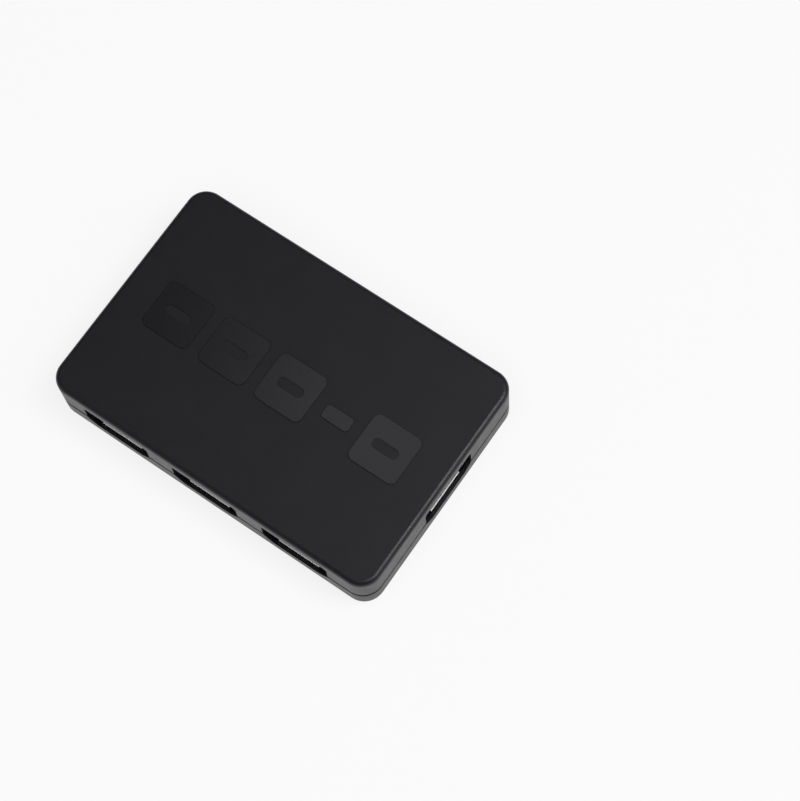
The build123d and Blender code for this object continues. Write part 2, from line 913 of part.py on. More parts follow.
def make_jack_body():
    """The moulded jack: a block inside the case and a round collar through the wall, with its bore."""
    half = jack_width / 2
    axis_z = jack_height / 2
    inside = side_wall + board_margin / 2
    block = slab(-half, half, inside, jack_depth, 0, jack_height)
    collar = rod_along_y(jack_collar_radius, 0, inside + board_margin, 0, axis_z)
    body = block + collar
    body = body - rod_along_y(jack_bore_radius, -cut_overrun, jack_bore_depth, 0, axis_z)
    slot_half = jack_contact_width / 2
    slot_low = axis_z - jack_bore_radius - jack_contact_thickness
    body = body - slab(-slot_half, slot_half, inside + board_margin, jack_bore_depth, slot_low, axis_z)
    leg_half = jack_leg_width / 2
    leg_back = jack_bore_depth
    leg_front = jack_bore_depth - jack_leg_thickness
    leg_high = slot_low + jack_contact_thickness
    body = body - slab(-leg_half, leg_half, leg_front, leg_back, -cut_overrun, leg_high)
    body = body - rod_along_y(jack_pin_root_radius, jack_bore_depth, jack_depth + cut_overrun, 0, axis_z)
    mouth = body.faces().sort_by(Axis.Y)[0].inner_wires()[0].edges()
    return chamfer(mouth, jack_mouth_chamfer)


def make_jack_pin():
    """The centre pin, with its plate behind the body and a leg through the board."""
    axis_z = jack_height / 2
    tip = jack_bore_depth - jack_pin_length
    pin = rod_along_y(jack_pin_radius, tip, jack_bore_depth, 0, axis_z)
    pin = fillet(pin.faces().sort_by(Axis.Y)[0].edges(), jack_pin_radius * 2 / 3)
    pin = pin + rod_along_y(jack_pin_root_radius, jack_bore_depth, jack_depth, 0, axis_z)
    half = jack_leg_width / 2
    low = -board_thickness - lead_below_board
    plate = slab(-half, half, jack_depth, jack_depth + jack_back_sheet, low, axis_z + jack_leg_width)
    return pin + plate


def make_jack_contact():
    """The side contact: a strip along the bottom of the bore, with a leg through the board."""
    half = jack_contact_width / 2
    axis_z = jack_height / 2
    low = axis_z - jack_bore_radius - jack_contact_thickness
    end = jack_bore_depth
    strip = slab(-half, half, end - jack_contact_length, end, low, low + jack_contact_thickness)
    leg_half = jack_leg_width / 2
    leg_low = -board_thickness - lead_below_board
    leg_high = low + jack_contact_thickness
    return strip + slab(-leg_half, leg_half, end - jack_leg_thickness, end, leg_low, leg_high)


# Chips

def gull_lead(width, reach, shoulder):
    """A bent lead that leaves a chip at Y 0 towards -Y: a shoulder, a drop and a foot on the board."""
    half = width / 2
    foot = reach / 2
    bend = foot - reach
    top = slab(-half, half, bend, 0, shoulder, shoulder + lead_thickness)
    drop = slab(-half, half, bend, bend + lead_thickness, 0, shoulder + lead_thickness)
    toe = slab(-half, half, -reach, bend + lead_thickness, 0, lead_thickness)
    return top + drop + toe


def chip_body(length, width, height):
    """A moulded chip body on Z 0, with its edges taken off and a dot in one corner."""
    body = slab(-length / 2, length / 2, -width / 2, width / 2, chip_lift, height)
    body = chamfer(body.faces().sort_by(Axis.Z)[-1].edges(), chip_lift)
    dot = Pos(-length / 2 + dot_inset, -width / 2 + dot_inset, 0)
    return body - dot * rod(dot_radius, height - chip_lift, height + cut_overrun)


def lead_row(count, pitch, width, reach, shoulder, body_half):
    """A row of leads along the -Y side of a chip."""
    lead = gull_lead(width, reach, shoulder)
    return [Pos((i - (count - 1) / 2) * pitch, -body_half, 0) * lead for i in range(count)]


def two_rows(row):
    """A row of leads and its copy on the far side."""
    return row + [Rot(0, 0, 180) * lead for lead in row]


def on_board(pieces, x, y, turn=0):
    """Pieces set on the board's top."""
    return [Pos(x, y, board_top) * Rot(0, 0, turn) * piece for piece in pieces]


def make_switch_chip_leads():
    """Leads on all four sides of the switch chip."""
    row = lead_row(
        switch_chip_lead_count,
        switch_chip_pitch,
        switch_chip_lead_width,
        switch_chip_lead_reach,
        switch_chip_height / 2,
        switch_chip_size / 2,
    )
    leads = two_rows(row) + [Rot(0, 0, 90) * lead for lead in two_rows(row)]
    return on_board(leads, switch_chip_x, switch_chip_y)


def make_controller_leads():
    """Leads on both long sides of the controller chip."""
    row = lead_row(
        controller_lead_count,
        controller_pitch,
        controller_lead_width,
        controller_lead_reach,
        controller_height / 2,
        controller_width / 2,
    )
    return on_board(two_rows(row), controller_x, controller_y)


def memory_places():
    """The places of the memory chips: one beside each input socket."""
    return [(x + memory_x_shift, memory_y) for x in input_xs]


def make_memory_chips():
    """Three small memory chips, one for each input."""
    chip = chip_body(memory_length, memory_width, controller_height)
    return [piece for x, y in memory_places() for piece in on_board([chip], x, y)]


def make_memory_leads():
    """The leads of the memory chips."""
    row = lead_row(
        memory_lead_count,
        controller_pitch,
        controller_lead_width,
        controller_lead_reach,
        controller_height / 2,
        memory_width / 2,
    )
    return [piece for x, y in memory_places() for piece in on_board(two_rows(row), x, y)]


def make_regulator_leads():
    """The leads on one side of the regulator, and its wide tab on the other."""
    middle = regulator_height / 2
    row = lead_row(
        regulator_lead_count,
        regulator_lead_pitch,
        regulator_lead_width,
        regulator_lead_reach,
        middle,
        regulator_width / 2,
    )
    tab = gull_lead(regulator_tab_width, regulator_lead_reach, middle)
    tab = Rot(0, 0, 180) * Pos(0, -regulator_width / 2, 0) * tab
    return on_board(row + [tab], power_x, regulator_y)


# Small parts on the board

def make_crystal_can():
    """The pressed can of the crystal, with round ends and a rim at its foot."""
    can = extrude(SlotOverall(crystal_length, crystal_width), crystal_height)
    can = fillet(can.faces().sort_by(Axis.Z)[-1].edges(), crystal_rim)
    rim_outline = SlotOverall(crystal_length + 2 * crystal_rim, crystal_width + 2 * crystal_rim)
    rim = extrude(rim_outline, crystal_rim)
    return on_board([Pos(0, 0, crystal_base) * (can + rim)], crystal_x, crystal_y)


def make_crystal_base():
    """The insulating foot under the crystal's can."""
    half_x, half_y = (crystal_length + crystal_rim) / 2, (crystal_width + crystal_rim) / 2
    return on_board([slab(-half_x, half_x, -half_y, half_y, 0, crystal_base)], crystal_x, crystal_y)


def can_places():
    """The places of the two cans: one behind the inputs and one before the lamps."""
    return [(power_x, front_can_y), (power_x, back_can_y)]


def chip_columns(side, count):
    """Places of small parts in columns on one side of the switch chip."""
    first = switch_chip_size / 2 + switch_chip_lead_reach + part_gap + chip_part_length / 2
    return [
        (
            switch_chip_x + side * (first + column * (chip_part_length + part_gap)),
            switch_chip_y - row * chip_part_row_pitch,
        )
        for column in range(count)
        for row in range(chip_part_rows)
    ]


def behind_switch_chip():
    """Places of small parts in a row behind the switch chip."""
    y = switch_chip_y + switch_chip_size / 2 + switch_chip_lead_reach + part_gap + chip_part_width / 2
    return [(switch_chip_x + back_part_pitch * (i - (back_parts - 1) / 2), y) for i in range(back_parts)]


def make_can_capacitors():
    """Two aluminium cans, each with a groove near its foot."""
    low = can_base_thickness
    can = rod(can_radius, low, low + can_height)
    can = fillet(can.faces().sort_by(Axis.Z)[-1].edges(), can_groove)
    groove = rod(can_radius + cut_overrun, low + 2 * can_groove, low + 4 * can_groove)
    groove = groove - rod(can_radius - can_groove, 0, can_height)
    return [piece for x, y in can_places() for piece in on_board([can - groove], x, y)]


def make_can_bases():
    """The square bases under the cans, with two corners cut off."""
    half = can_base_size / 2
    base = slab(-half, half, -half, half, 0, can_base_thickness)
    corners = base.edges().filter_by(Axis.Z).group_by(Axis.X)[-1]
    base = chamfer(corners, can_base_chamfer)
    return [piece for x, y in can_places() for piece in on_board([base], x, y)]


def chip_parts(places, height):
    """Small block parts at places on the board."""
    half_x, half_y = chip_part_length / 2, chip_part_width / 2
    block = slab(-half_x, half_x, -half_y, half_y, 0, height)
    return [piece for x, y in places for piece in on_board([block], x, y)]


def make_surge_protectors():
    """One surge protector behind each socket's contacts."""
    half_x, half_y = protector_length / 2, protector_width / 2
    start = contact_foot_end + part_gap
    block = slab(-half_x, half_x, start, start + 2 * half_y, 0, protector_height)
    return at_each_socket(block)


# All nodes

socket_shell = make_socket_shell()
socket_insulator = make_socket_insulator()
socket_contacts = make_socket_contacts()
switch_chip = chip_body(switch_chip_size, switch_chip_size, switch_chip_height)
controller_chip = chip_body(controller_length, controller_width, controller_height)
regulator = chip_body(regulator_length, regulator_width, regulator_height)

# Next to the switch chip stand capacitors, and the outer columns beside it are resistors.
left_places = chip_columns(-1, left_columns)
right_places = chip_columns(1, right_columns)
capacitor_places = left_places[:chip_part_rows] + right_places[:chip_part_rows] + behind_switch_chip()
resistor_places = left_places[chip_part_rows:] + right_places[chip_part_rows:]
resistor_places += [(x, lamp_resistor_y) for x in lamp_xs]

nodes = {
    "top_cover": make_top_cover(),
    "bottom_cover": make_bottom_cover(),
    "case_screws": group(at_each_screw(make_case_screw())),
    "select_button": make_select_button(),
    "switch_plunger": make_switch_plunger(),
    "switch_base": make_switch_base(),
    "switch_frame": make_switch_frame(),
    "switch_dome": make_switch_dome(),
    "switch_terminals": group(make_switch_terminals()),
    "receiver_window": make_receiver_window(),
    "receiver": make_receiver(),
    "receiver_leads": group(make_receiver_leads()),
    "jack_body": at_jack(make_jack_body()),
    "jack_pin": at_jack(make_jack_pin()),
    "jack_contact": at_jack(make_jack_contact()),
    "switch_chip": group(on_board([switch_chip], switch_chip_x, switch_chip_y)),
    "switch_chip_leads": group(make_switch_chip_leads()),
    "controller_chip": group(on_board([controller_chip], controller_x, controller_y)),
    "controller_leads": group(make_controller_leads()),
    "memory_chips": group(make_memory_chips()),
    "memory_leads": group(make_memory_leads()),
    "regulator": group(on_board([regulator], power_x, regulator_y)),
    "regulator_leads": group(make_regulator_leads()),
    "crystal_can": group(make_crystal_can()),
    "crystal_base": group(make_crystal_base()),
    "can_capacitors": group(make_can_capacitors()),
    "can_bases": group(make_can_bases()),
    "chip_capacitors": group(chip_parts(capacitor_places, capacitor_height)),
    "chip_resistors": group(chip_parts(resistor_places, resistor_height)),
    "surge_protectors": group(make_surge_protectors()),
}

for i in range(input_count):
    name = f"input_{i + 1}"
    nodes[f"{name}_shell"] = at_input(socket_shell, i)
    nodes[f"{name}_insulator"] = at_input(socket_insulator, i)
    nodes[f"{name}_contacts"] = group([at_input(strip, i) for strip in socket_contacts])
nodes["output_shell"] = at_output(socket_shell)
nodes["output_insulator"] = at_output(socket_insulator)
nodes["output_contacts"] = group([at_output(strip) for strip in socket_contacts])

lamp_lead_pairs = []
for i in range(lamp_count):
    nodes[f"lamp_{i + 1}"] = Pos(lamp_xs[i], 0, 0) * make_lamp_lens()
    lamp_lead_pairs += [Pos(lamp_xs[i], 0, 0) * lead for lead in make_lamp_leads()]
nodes["lamp_leads"] = group(lamp_lead_pairs)

# Every lead that goes through the board, cut down to the stretch inside it
board_zone = slab(-case_length, case_length, -case_width, case_width, board_under, board_top)
through_pieces = [leg for item in at_each_socket(group(shell_legs())) for leg in item.solids()]
through_pieces += lamp_lead_pairs + make_receiver_leads() + make_switch_terminals()
through_pieces += [nodes["switch_frame"], nodes["jack_pin"], nodes["jack_contact"]]
through_leads = [solid for piece in through_pieces for solid in (piece & board_zone).solids()]
nodes["main_board"] = make_main_board(through_leads)

os.makedirs("parts", exist_ok=True)
for name, shape in nodes.items():
    export_step(shape, f"parts/{name}.step")
    print(name, len(shape.solids()))
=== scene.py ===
"""Dresses the video switch box: softened covers, socket metal, contacts, screws, finishes and a stage."""

import json
import math

import bmesh
import bpy
from bpy.props import FloatProperty, FloatVectorProperty, IntProperty, PointerProperty
from mathutils import Matrix, Vector


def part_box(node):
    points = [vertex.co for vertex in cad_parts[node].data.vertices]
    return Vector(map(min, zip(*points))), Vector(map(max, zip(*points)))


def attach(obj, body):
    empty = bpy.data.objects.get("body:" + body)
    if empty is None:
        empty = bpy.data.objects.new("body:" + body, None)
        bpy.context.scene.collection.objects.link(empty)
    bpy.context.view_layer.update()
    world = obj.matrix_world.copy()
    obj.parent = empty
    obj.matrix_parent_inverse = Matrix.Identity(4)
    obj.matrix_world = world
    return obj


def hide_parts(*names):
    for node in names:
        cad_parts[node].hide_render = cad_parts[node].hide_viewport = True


bl_info = {
    "name": "Video switch box",
    "version": (1, 0, 0),
    "blender": (4, 5, 0),
    "location": "3D View > Sidebar > Switch box",
    "description": "Builds the looks of a small video switch box round its packed solids",
    "category": "Object",
}

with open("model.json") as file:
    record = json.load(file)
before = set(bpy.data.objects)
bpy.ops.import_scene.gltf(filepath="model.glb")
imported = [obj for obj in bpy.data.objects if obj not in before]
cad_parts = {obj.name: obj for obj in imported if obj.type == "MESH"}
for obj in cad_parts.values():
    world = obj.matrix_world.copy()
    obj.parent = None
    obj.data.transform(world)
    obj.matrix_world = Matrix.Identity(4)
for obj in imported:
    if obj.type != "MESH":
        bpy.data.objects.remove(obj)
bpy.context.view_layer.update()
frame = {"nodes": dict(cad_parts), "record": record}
NODES = frame["nodes"]

MM = 0.001
CASE = "case"
KEY = "select_key"
SOCKETS = ("input_1", "input_2", "input_3", "output")
LAMPS = ("lamp_1", "lamp_2", "lamp_3")
MERGE_DISTANCE, WRAP_DISTANCE = 1e-6, 1e-7

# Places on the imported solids, whose case has X = 0 and Y = 0 in its middle
LOW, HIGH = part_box("top_cover")
FRONT_Y, BACK_Y, RIGHT_X = LOW.y, HIGH.y, HIGH.x
RELIEF_HEIGHT = 0.2 * MM
TOP_FACE = HIGH.z - RELIEF_HEIGHT
BOARD_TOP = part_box("main_board")[1].z
MOUTH_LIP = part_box("input_1_shell")[0].y - FRONT_Y

# Covers: a margin is how near to a face a point counts as on it, and edges in the top band are left alone
CORNER_RADIUS = 4.3 * MM
SEAM_ROUND = 0.40 * MM
WALL_MARGIN = 0.15 * MM
LEVEL_MARGIN = 0.01 * MM
TOP_BAND = 0.5 * MM

# Lower lips of the sockets: the height of their level tops over the board, how high over it and how far
# behind their front their points are looked for, two roundings, and the width of the rougher band at the
# front, whose pale non-metal colour is a painted highlight
LIP_TOP = 0.28 * MM
LIP_REACH = 0.3 * MM
LIP_DEPTH = 0.05 * MM
LIP_ROUND = 0.10 * MM
SHEET_ROUND = 0.05 * MM
HIGHLIGHT_BAND = 0.16 * MM

# Angles in degrees: faces that meet at less than the first are joined, and edges sharper than the others are
# rounded or left crisp
FLAT = 0.4
CREASE, SMALL_CREASE, SHEET_CREASE = 32, 40, 50

# The stage: the floor's half width, how far it lies under the case, how much of its own colour is seen, the
# camera's angles in degrees, and where the origin lies to the camera's right, upwards and backwards
FLOOR_HALF = 3.0
FLOOR_DROP = 0.02 * MM
FLOOR_SHARE = 0.86
CAMERA_ANGLES = (42.36, 70.70, -7.99)
CAMERA_SHIFT = Vector((-22.61, -0.41, -452.80)) * MM


# Settings that a user may change


class CaseSettings(bpy.types.PropertyGroup):
    """Finish of the covers and the softening of their rims."""

    colour: FloatVectorProperty(
        name="Case colour", description="Colour of the moulded covers", subtype="COLOR",
        size=4, min=0, max=1, default=(0.0063, 0.0059, 0.0082, 1),
    )
    relief_colour: FloatVectorProperty(
        name="Relief colour", description="Colour of the raised tiles on the top", subtype="COLOR",
        size=4, min=0, max=1, default=(0.0060, 0.0057, 0.0077, 1),
    )
    roughness: FloatProperty(
        name="Case roughness", description="How dull the grained faces are", subtype="FACTOR",
        min=0, max=1, default=0.42,
    )
    relief_roughness: FloatProperty(
        name="Relief roughness", description="How dull the raised tiles are", subtype="FACTOR",
        min=0, max=1, default=0.22,
    )
    grain: FloatProperty(
        name="Grain size", description="Width of one grain of the moulded texture", subtype="DISTANCE",
        unit="LENGTH", min=0.00005, max=0.001, default=0.00022, precision=5,
    )
    rim: FloatProperty(
        name="Rim softening", description="Width of the softened rims of the openings and outer edges",
        subtype="DISTANCE", unit="LENGTH", min=0, max=0.0005, default=0.00010, precision=5,
    )


class SocketSettings(bpy.types.PropertyGroup):
    """Sizes of the contacts in the video sockets, and the colour of the shells."""

    pitch: FloatProperty(
        name="Contact pitch", description="From one contact to the next in a row", subtype="DISTANCE",
        unit="LENGTH", min=0.0005, max=0.002, default=0.001, precision=5,
    )
    width: FloatProperty(
        name="Contact width", description="Width of one contact", subtype="DISTANCE",
        unit="LENGTH", min=0.0001, max=0.001, default=0.0003, precision=5,
    )
    thickness: FloatProperty(
        name="Contact thickness", description="Thickness of one contact", subtype="DISTANCE",
        unit="LENGTH", min=0.00005, max=0.0005, default=0.00015, precision=5,
    )
    upper: IntProperty(
        name="Upper contacts", description="Contacts on the tongue's upper side", min=1, default=10,
    )
    lower: IntProperty(
        name="Lower contacts", description="Contacts on the tongue's lower side", min=1, default=9,
    )
    metal: FloatVectorProperty(
        name="Shell colour", description="Colour of the plated shells", subtype="COLOR",
        size=4, min=0, max=1, default=(0.74, 0.735, 0.72, 1),
    )


class ScrewSettings(bpy.types.PropertyGroup):
    """Sizes of the case screws."""

    thread_pitch: FloatProperty(
        name="Thread pitch", description="From one thread crest to the next", subtype="DISTANCE",
        unit="LENGTH", min=0.0003, max=0.002, default=0.0008, precision=5,
    )
    thread_depth: FloatProperty(
        name="Thread depth", description="From crest to root", subtype="DISTANCE",
        unit="LENGTH", min=0.00005, max=0.0006, default=0.00028, precision=5,
    )
    cross_depth: FloatProperty(
        name="Cross depth", description="Depth of the cross in the head", subtype="DISTANCE",
        unit="LENGTH", min=0.0002, max=0.0014, default=0.0009, precision=5,
    )


class StageSettings(bpy.types.PropertyGroup):
    """The floor, the lamps and the camera."""

    floor: FloatVectorProperty(
        name="Floor colour", description="Colour of the floor and of what lies behind it", subtype="COLOR",
        size=4, min=0, max=1, default=(0.93, 0.93, 0.93, 1),
    )
    lens: FloatProperty(
        name="Lens", description="Focal length of the camera in millimetres", min=10, max=400, default=101.99,
    )
    level: FloatProperty(
        name="Even light", description="Power of the even overhead light in watts", subtype="POWER",
        unit="POWER", min=0, max=100, default=18.0,
    )
    side: FloatProperty(
        name="Side panel", description="Power of the panel beyond the output in watts", subtype="POWER",
        unit="POWER", min=0, max=100, default=1.7,
    )
    fill: FloatProperty(
        name="Fill panel", description="Power of the panel at the front left in watts", subtype="POWER",
        unit="POWER", min=0, max=100, default=0.06,
    )
    ceiling: FloatProperty(
        name="Ceiling panel", description="Power of the panel above the output side in watts",
        subtype="POWER", unit="POWER", min=0, max=100, default=4.0,
    )
    relief: FloatProperty(
        name="Relief panel", description="Power of the small panel mirrored by the last tile in watts",
        subtype="POWER", unit="POWER", min=0, max=100, default=0.12,
    )
    sky: FloatProperty(
        name="Sky", description="Strength of the light from all round", min=0, max=1, default=0.10,
    )


# Nodes


def connect(tree, value, socket):
    """Links an input from an output socket, or gives it a plain value."""
    if isinstance(value, bpy.types.NodeSocket):
        tree.links.new(value, socket)
    else:
        socket.default_value = value


def wire(tree, kind, **inputs):
    """Adds a node. A key is one of its settings, or an input by its name or by its number after an i."""
    node = tree.nodes.new(kind)
    for key, value in inputs.items():
        if hasattr(node, key):
            setattr(node, key, value)
        elif key[0] == "i" and key[1:].isdigit():
            connect(tree, value, node.inputs[int(key[1:])])
        else:
            connect(tree, value, node.inputs[key.replace("_", " ")])
    return node


def calc(tree, operation, first, second=0.0):
    """One step of arithmetic."""
    return wire(tree, "ShaderNodeMath", operation=operation, i0=first, i1=second).outputs[0]


# Materials


def start_material(name, base, roughness, metallic=0.0):
    """A material with its main shader, and the Object coordinates that its patterns read."""
    material = bpy.data.materials.new(name)
    material.use_nodes = True
    shader = material.node_tree.nodes["Principled BSDF"]
    feed(material, shader, Base_Color=base, Roughness=roughness, Metallic=metallic)
    place = material.node_tree.nodes.new("ShaderNodeTexCoord")
    place.name = "Place"
    return material, shader


def feed(material, shader, **sockets):
    """Links pattern outputs to the shader's inputs, or gives them plain values."""
    for key, value in sockets.items():
        connect(material.node_tree, value, shader.inputs[key.replace("_", " ")])


def add_node(material, kind, **inputs):
    """Adds a node to a material."""
    return wire(material.node_tree, kind, **inputs)


def place_of(material):
    """The Object coordinates of a material."""
    return material.node_tree.nodes["Place"].outputs["Object"]


def noise(material, grain, detail=2.0, roughness=0.5, stretch=None):
    """A noise whose grains have a given width in metres. Stretch makes it longer along some axes."""
    place = place_of(material)
    if stretch:
        place = add_node(material, "ShaderNodeMapping", Vector=place, Scale=stretch).outputs["Vector"]
    node = add_node(
        material, "ShaderNodeTexNoise", Vector=place, Scale=1 / grain, Detail=detail, Roughness=roughness
    )
    return node.outputs["Fac"]


def spread(material, value, low, high, from_low=0.3, from_high=0.7):
    """Maps a pattern to a range of values."""
    node = add_node(
        material, "ShaderNodeMapRange", Value=value, From_Min=from_low, From_Max=from_high,
        To_Min=low, To_Max=high,
    )
    return node.outputs["Result"]


def blend_values(material, factor, first, second, data_type="FLOAT", kind="VALUE"):
    """A value between two others, each plain or an output socket."""
    node = add_node(material, "ShaderNodeMix", data_type=data_type, i0=factor)
    ends = [socket for socket in node.inputs[1:] if socket.type == kind]
    for socket, value in zip(ends, (first, second)):
        connect(material.node_tree, value, socket)
    return [socket for socket in node.outputs if socket.type == kind][0]


def blend_colours(material, factor, first, second):
    """A colour between two others, each plain or an output socket."""
    return blend_values(material, factor, first, second, "RGBA", "RGBA")


def shaded(colour, share):
    """A colour made darker or lighter by a share."""
    return tuple(min(1.0, c * share) for c in colour[:3]) + (colour[3],)


def tinted(material, pattern, colour, dark, pale):
    """A colour that goes from a darker share of itself to a paler one with a pattern."""
    factor = spread(material, pattern, 0, 1)
    return blend_colours(material, factor, shaded(colour, dark), shaded(colour, pale))


def raise_surface(material, height, distance, strength=1.0, below=None):
    """Adds a bump of a given depth in metres. Below is the bump that it is laid over."""
    node = add_node(material, "ShaderNodeBump", Height=height, Strength=strength, Distance=distance)
    if below:
        material.node_tree.links.new(below, node.inputs["Normal"])
    return node.outputs["Normal"]


def height_mask(material, low, high):
    """A mask that goes from 0 to 1 between two heights."""
    parts = add_node(material, "ShaderNodeSeparateXYZ", Vector=place_of(material))
    return spread(material, parts.outputs["Z"], 0, 1, low, high)


def case_material(settings):
    """Black moulded plastic with a spark-eroded grain, and smoother raised tiles on the top."""
    colour, tile_colour = tuple(settings.colour), tuple(settings.relief_colour)
    material, shader = start_material("moulded_black", colour, settings.roughness)
    tile = height_mask(material, TOP_FACE + 0.25 * RELIEF_HEIGHT, TOP_FACE + 0.6 * RELIEF_HEIGHT)
    clouds = noise(material, 9 * MM, 3)
    flow = noise(material, 2.4 * MM, 2)
    base = blend_colours(material, tile, tinted(material, clouds, colour, 0.92, 1.08), tile_colour)
    dull = spread(material, flow, settings.roughness - 0.03, settings.roughness + 0.03)
    dull = blend_values(material, tile, dull, settings.relief_roughness)
    fine = noise(material, settings.grain, 2, 0.6)
    coarse = noise(material, 3.1 * settings.grain, 1)
    grain_depth = blend_values(material, tile, fine, 0.5)
    normal = raise_surface(material, grain_depth, 0.012 * MM, 0.55)
    normal = raise_surface(material, coarse, 0.010 * MM, 0.30, normal)
    feed(material, shader, Base_Color=base, Roughness=dull, Normal=normal, IOR=1.49)
    return material


def button_material():
    """Satin black plastic, polished unevenly by fingers."""
    colour = (0.016, 0.0155, 0.018, 1)
    material, shader = start_material("satin_black", colour, 0.33)
    rub = noise(material, 3 * MM, 2)
    fine = noise(material, 0.15 * MM, 2)
    feed(
        material, shader, Base_Color=tinted(material, rub, colour, 0.9, 1.15),
        Roughness=spread(material, rub, 0.26, 0.38), Normal=raise_surface(material, fine, 0.006 * MM, 0.4),
    )
    return material


def window_material():
    """Clear dark red plastic that lets infrared light through."""
    colour = (0.030, 0.0022, 0.0035, 1)
    material, shader = start_material("dark_red_clear", colour, 0.08)
    haze = noise(material, 2.5 * MM, 3)
    fine = noise(material, 0.5 * MM, 1)
    feed(
        material, shader, Base_Color=tinted(material, haze, colour, 0.8, 1.3),
        Roughness=spread(material, haze, 0.05, 0.13), Normal=raise_surface(material, fine, 0.004 * MM, 0.3),
        Transmission_Weight=0.35, Coat_Weight=0.4, Coat_Roughness=0.05,
    )
    return material


def lamp_material():
    """Milky clear resin of the indicator lamps."""
    colour = (0.80, 0.84, 0.82, 1)
    material, shader = start_material("milky_resin", colour, 0.18)
    milk = noise(material, 0.9 * MM, 3)
    fine = noise(material, 0.25 * MM, 1)
    feed(
        material, shader, Base_Color=tinted(material, milk, colour, 0.86, 1.04),
        Roughness=spread(material, milk, 0.12, 0.24), Normal=raise_surface(material, fine, 0.004 * MM, 0.3),
        Transmission_Weight=0.45, Subsurface_Weight=0.2, Subsurface_Scale=1.2 * MM,
    )
    return material


def metal_material(name, colour, roughness, stretch, tarnish=0.85, depth=0.002 * MM):
    """Plated or drawn metal with fine lines along one way and a faint tarnish."""
    material, shader = start_material(name, colour, roughness, 1.0)
    lines = noise(material, 0.10 * MM, 2, 0.6, stretch)
    stain = noise(material, 2.2 * MM, 3)
    feed(
        material, shader, Base_Color=tinted(material, stain, colour, tarnish, 1.0),
        Roughness=spread(material, lines, roughness * 0.75, roughness * 1.3),
        Normal=raise_surface(material, lines, depth, 0.4),
    )
    return material


def paint_lip_edge_highlight(material, colour):
    """Paints a highlight on the sheared front edges of the sockets' lips: a pale, nearly non-metal band that
    stands in for their glint, and rougher than the plated sheet.
    """
    shader = material.node_tree.nodes["Principled BSDF"]
    parts = add_node(material, "ShaderNodeSeparateXYZ", Vector=place_of(material))
    front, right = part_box("input_1_shell")[0].y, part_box("output_shell")[1].x
    band_end, highlight_metallic, edge_roughness = 1.2 * HIGHLIGHT_BAND, 0.1, 0.45
    near_front = spread(material, parts.outputs["Y"], 1, 0, front + HIGHLIGHT_BAND, front + band_end)
    near_right = spread(material, parts.outputs["X"], 0, 1, right - band_end, right - HIGHLIGHT_BAND)
    edge = blend_values(material, near_front, near_right, 1.0)
    plated = shader.inputs["Base Color"].links[0].from_socket
    lines = shader.inputs["Roughness"].links[0].from_socket
    feed(
        # The pale, nearly non-metal colour in this band is a painted highlight on the lips' front edges.
        material, shader, Base_Color=blend_colours(material, edge, plated, colour),
        Metallic=blend_values(material, edge, 1.0, highlight_metallic),
        Roughness=blend_values(material, edge, lines, edge_roughness),
    )


def plain_material(name, colour, roughness, grain, contrast=0.15, depth=0.006 * MM, coat=0.0):
    """Moulded or fired stuff with a fine grain, a cloudy colour and a small bump."""
    material, shader = start_material(name, colour, roughness)
    clouds = noise(material, 12 * grain, 3)
    fine = noise(material, grain, 2, 0.6)
    feed(
        material, shader, Base_Color=tinted(material, clouds, colour, 1 - contrast, 1 + contrast),
        Roughness=spread(material, fine, roughness - 0.06, roughness + 0.06),
        Normal=raise_surface(material, fine, depth, 0.5), Coat_Weight=coat,
    )
    return material


def board_material():
    """Green solder mask over copper tracks that show as paler, slightly raised lines."""
    mask, track = (0.010, 0.115, 0.045, 1), (0.030, 0.215, 0.085, 1)
    material, shader = start_material("green_laminate", mask, 0.32)
    place = place_of(material)
    lines = []
    for shift, turn, width in ((0.0, 0.0, 0.9), (0.37, math.pi / 2, 1.3), (0.61, math.pi / 4, 2.1)):
        turned = add_node(
            material, "ShaderNodeMapping", Vector=place, Rotation=(0, 0, turn),
            Location=(shift * MM, shift * MM, 0),
        )
        bricks = add_node(
            material, "ShaderNodeTexBrick", Vector=turned.outputs["Vector"], Scale=1 / (width * MM),
            Mortar_Size=0.10, Brick_Width=7.0, Row_Height=1.0,
        )
        lines.append(bricks.outputs["Fac"])
    gate = spread(material, noise(material, 6 * MM, 1), 0, 1, 0.47, 0.53)
    pattern = blend_values(material, gate, lines[0], lines[1])
    second = spread(material, noise(material, 9 * MM, 1), 0, 1, 0.55, 0.60)
    pattern = blend_values(material, second, pattern, lines[2])
    weave = noise(material, 0.4 * MM, 2)
    base = blend_colours(material, pattern, mask, track)
    normal = raise_surface(material, pattern, 0.03 * MM, 0.6)
    feed(
        material, shader, Base_Color=base, Roughness=spread(material, weave, 0.26, 0.40),
        Normal=raise_surface(material, weave, 0.003 * MM, 0.3, normal),
    )
    return material


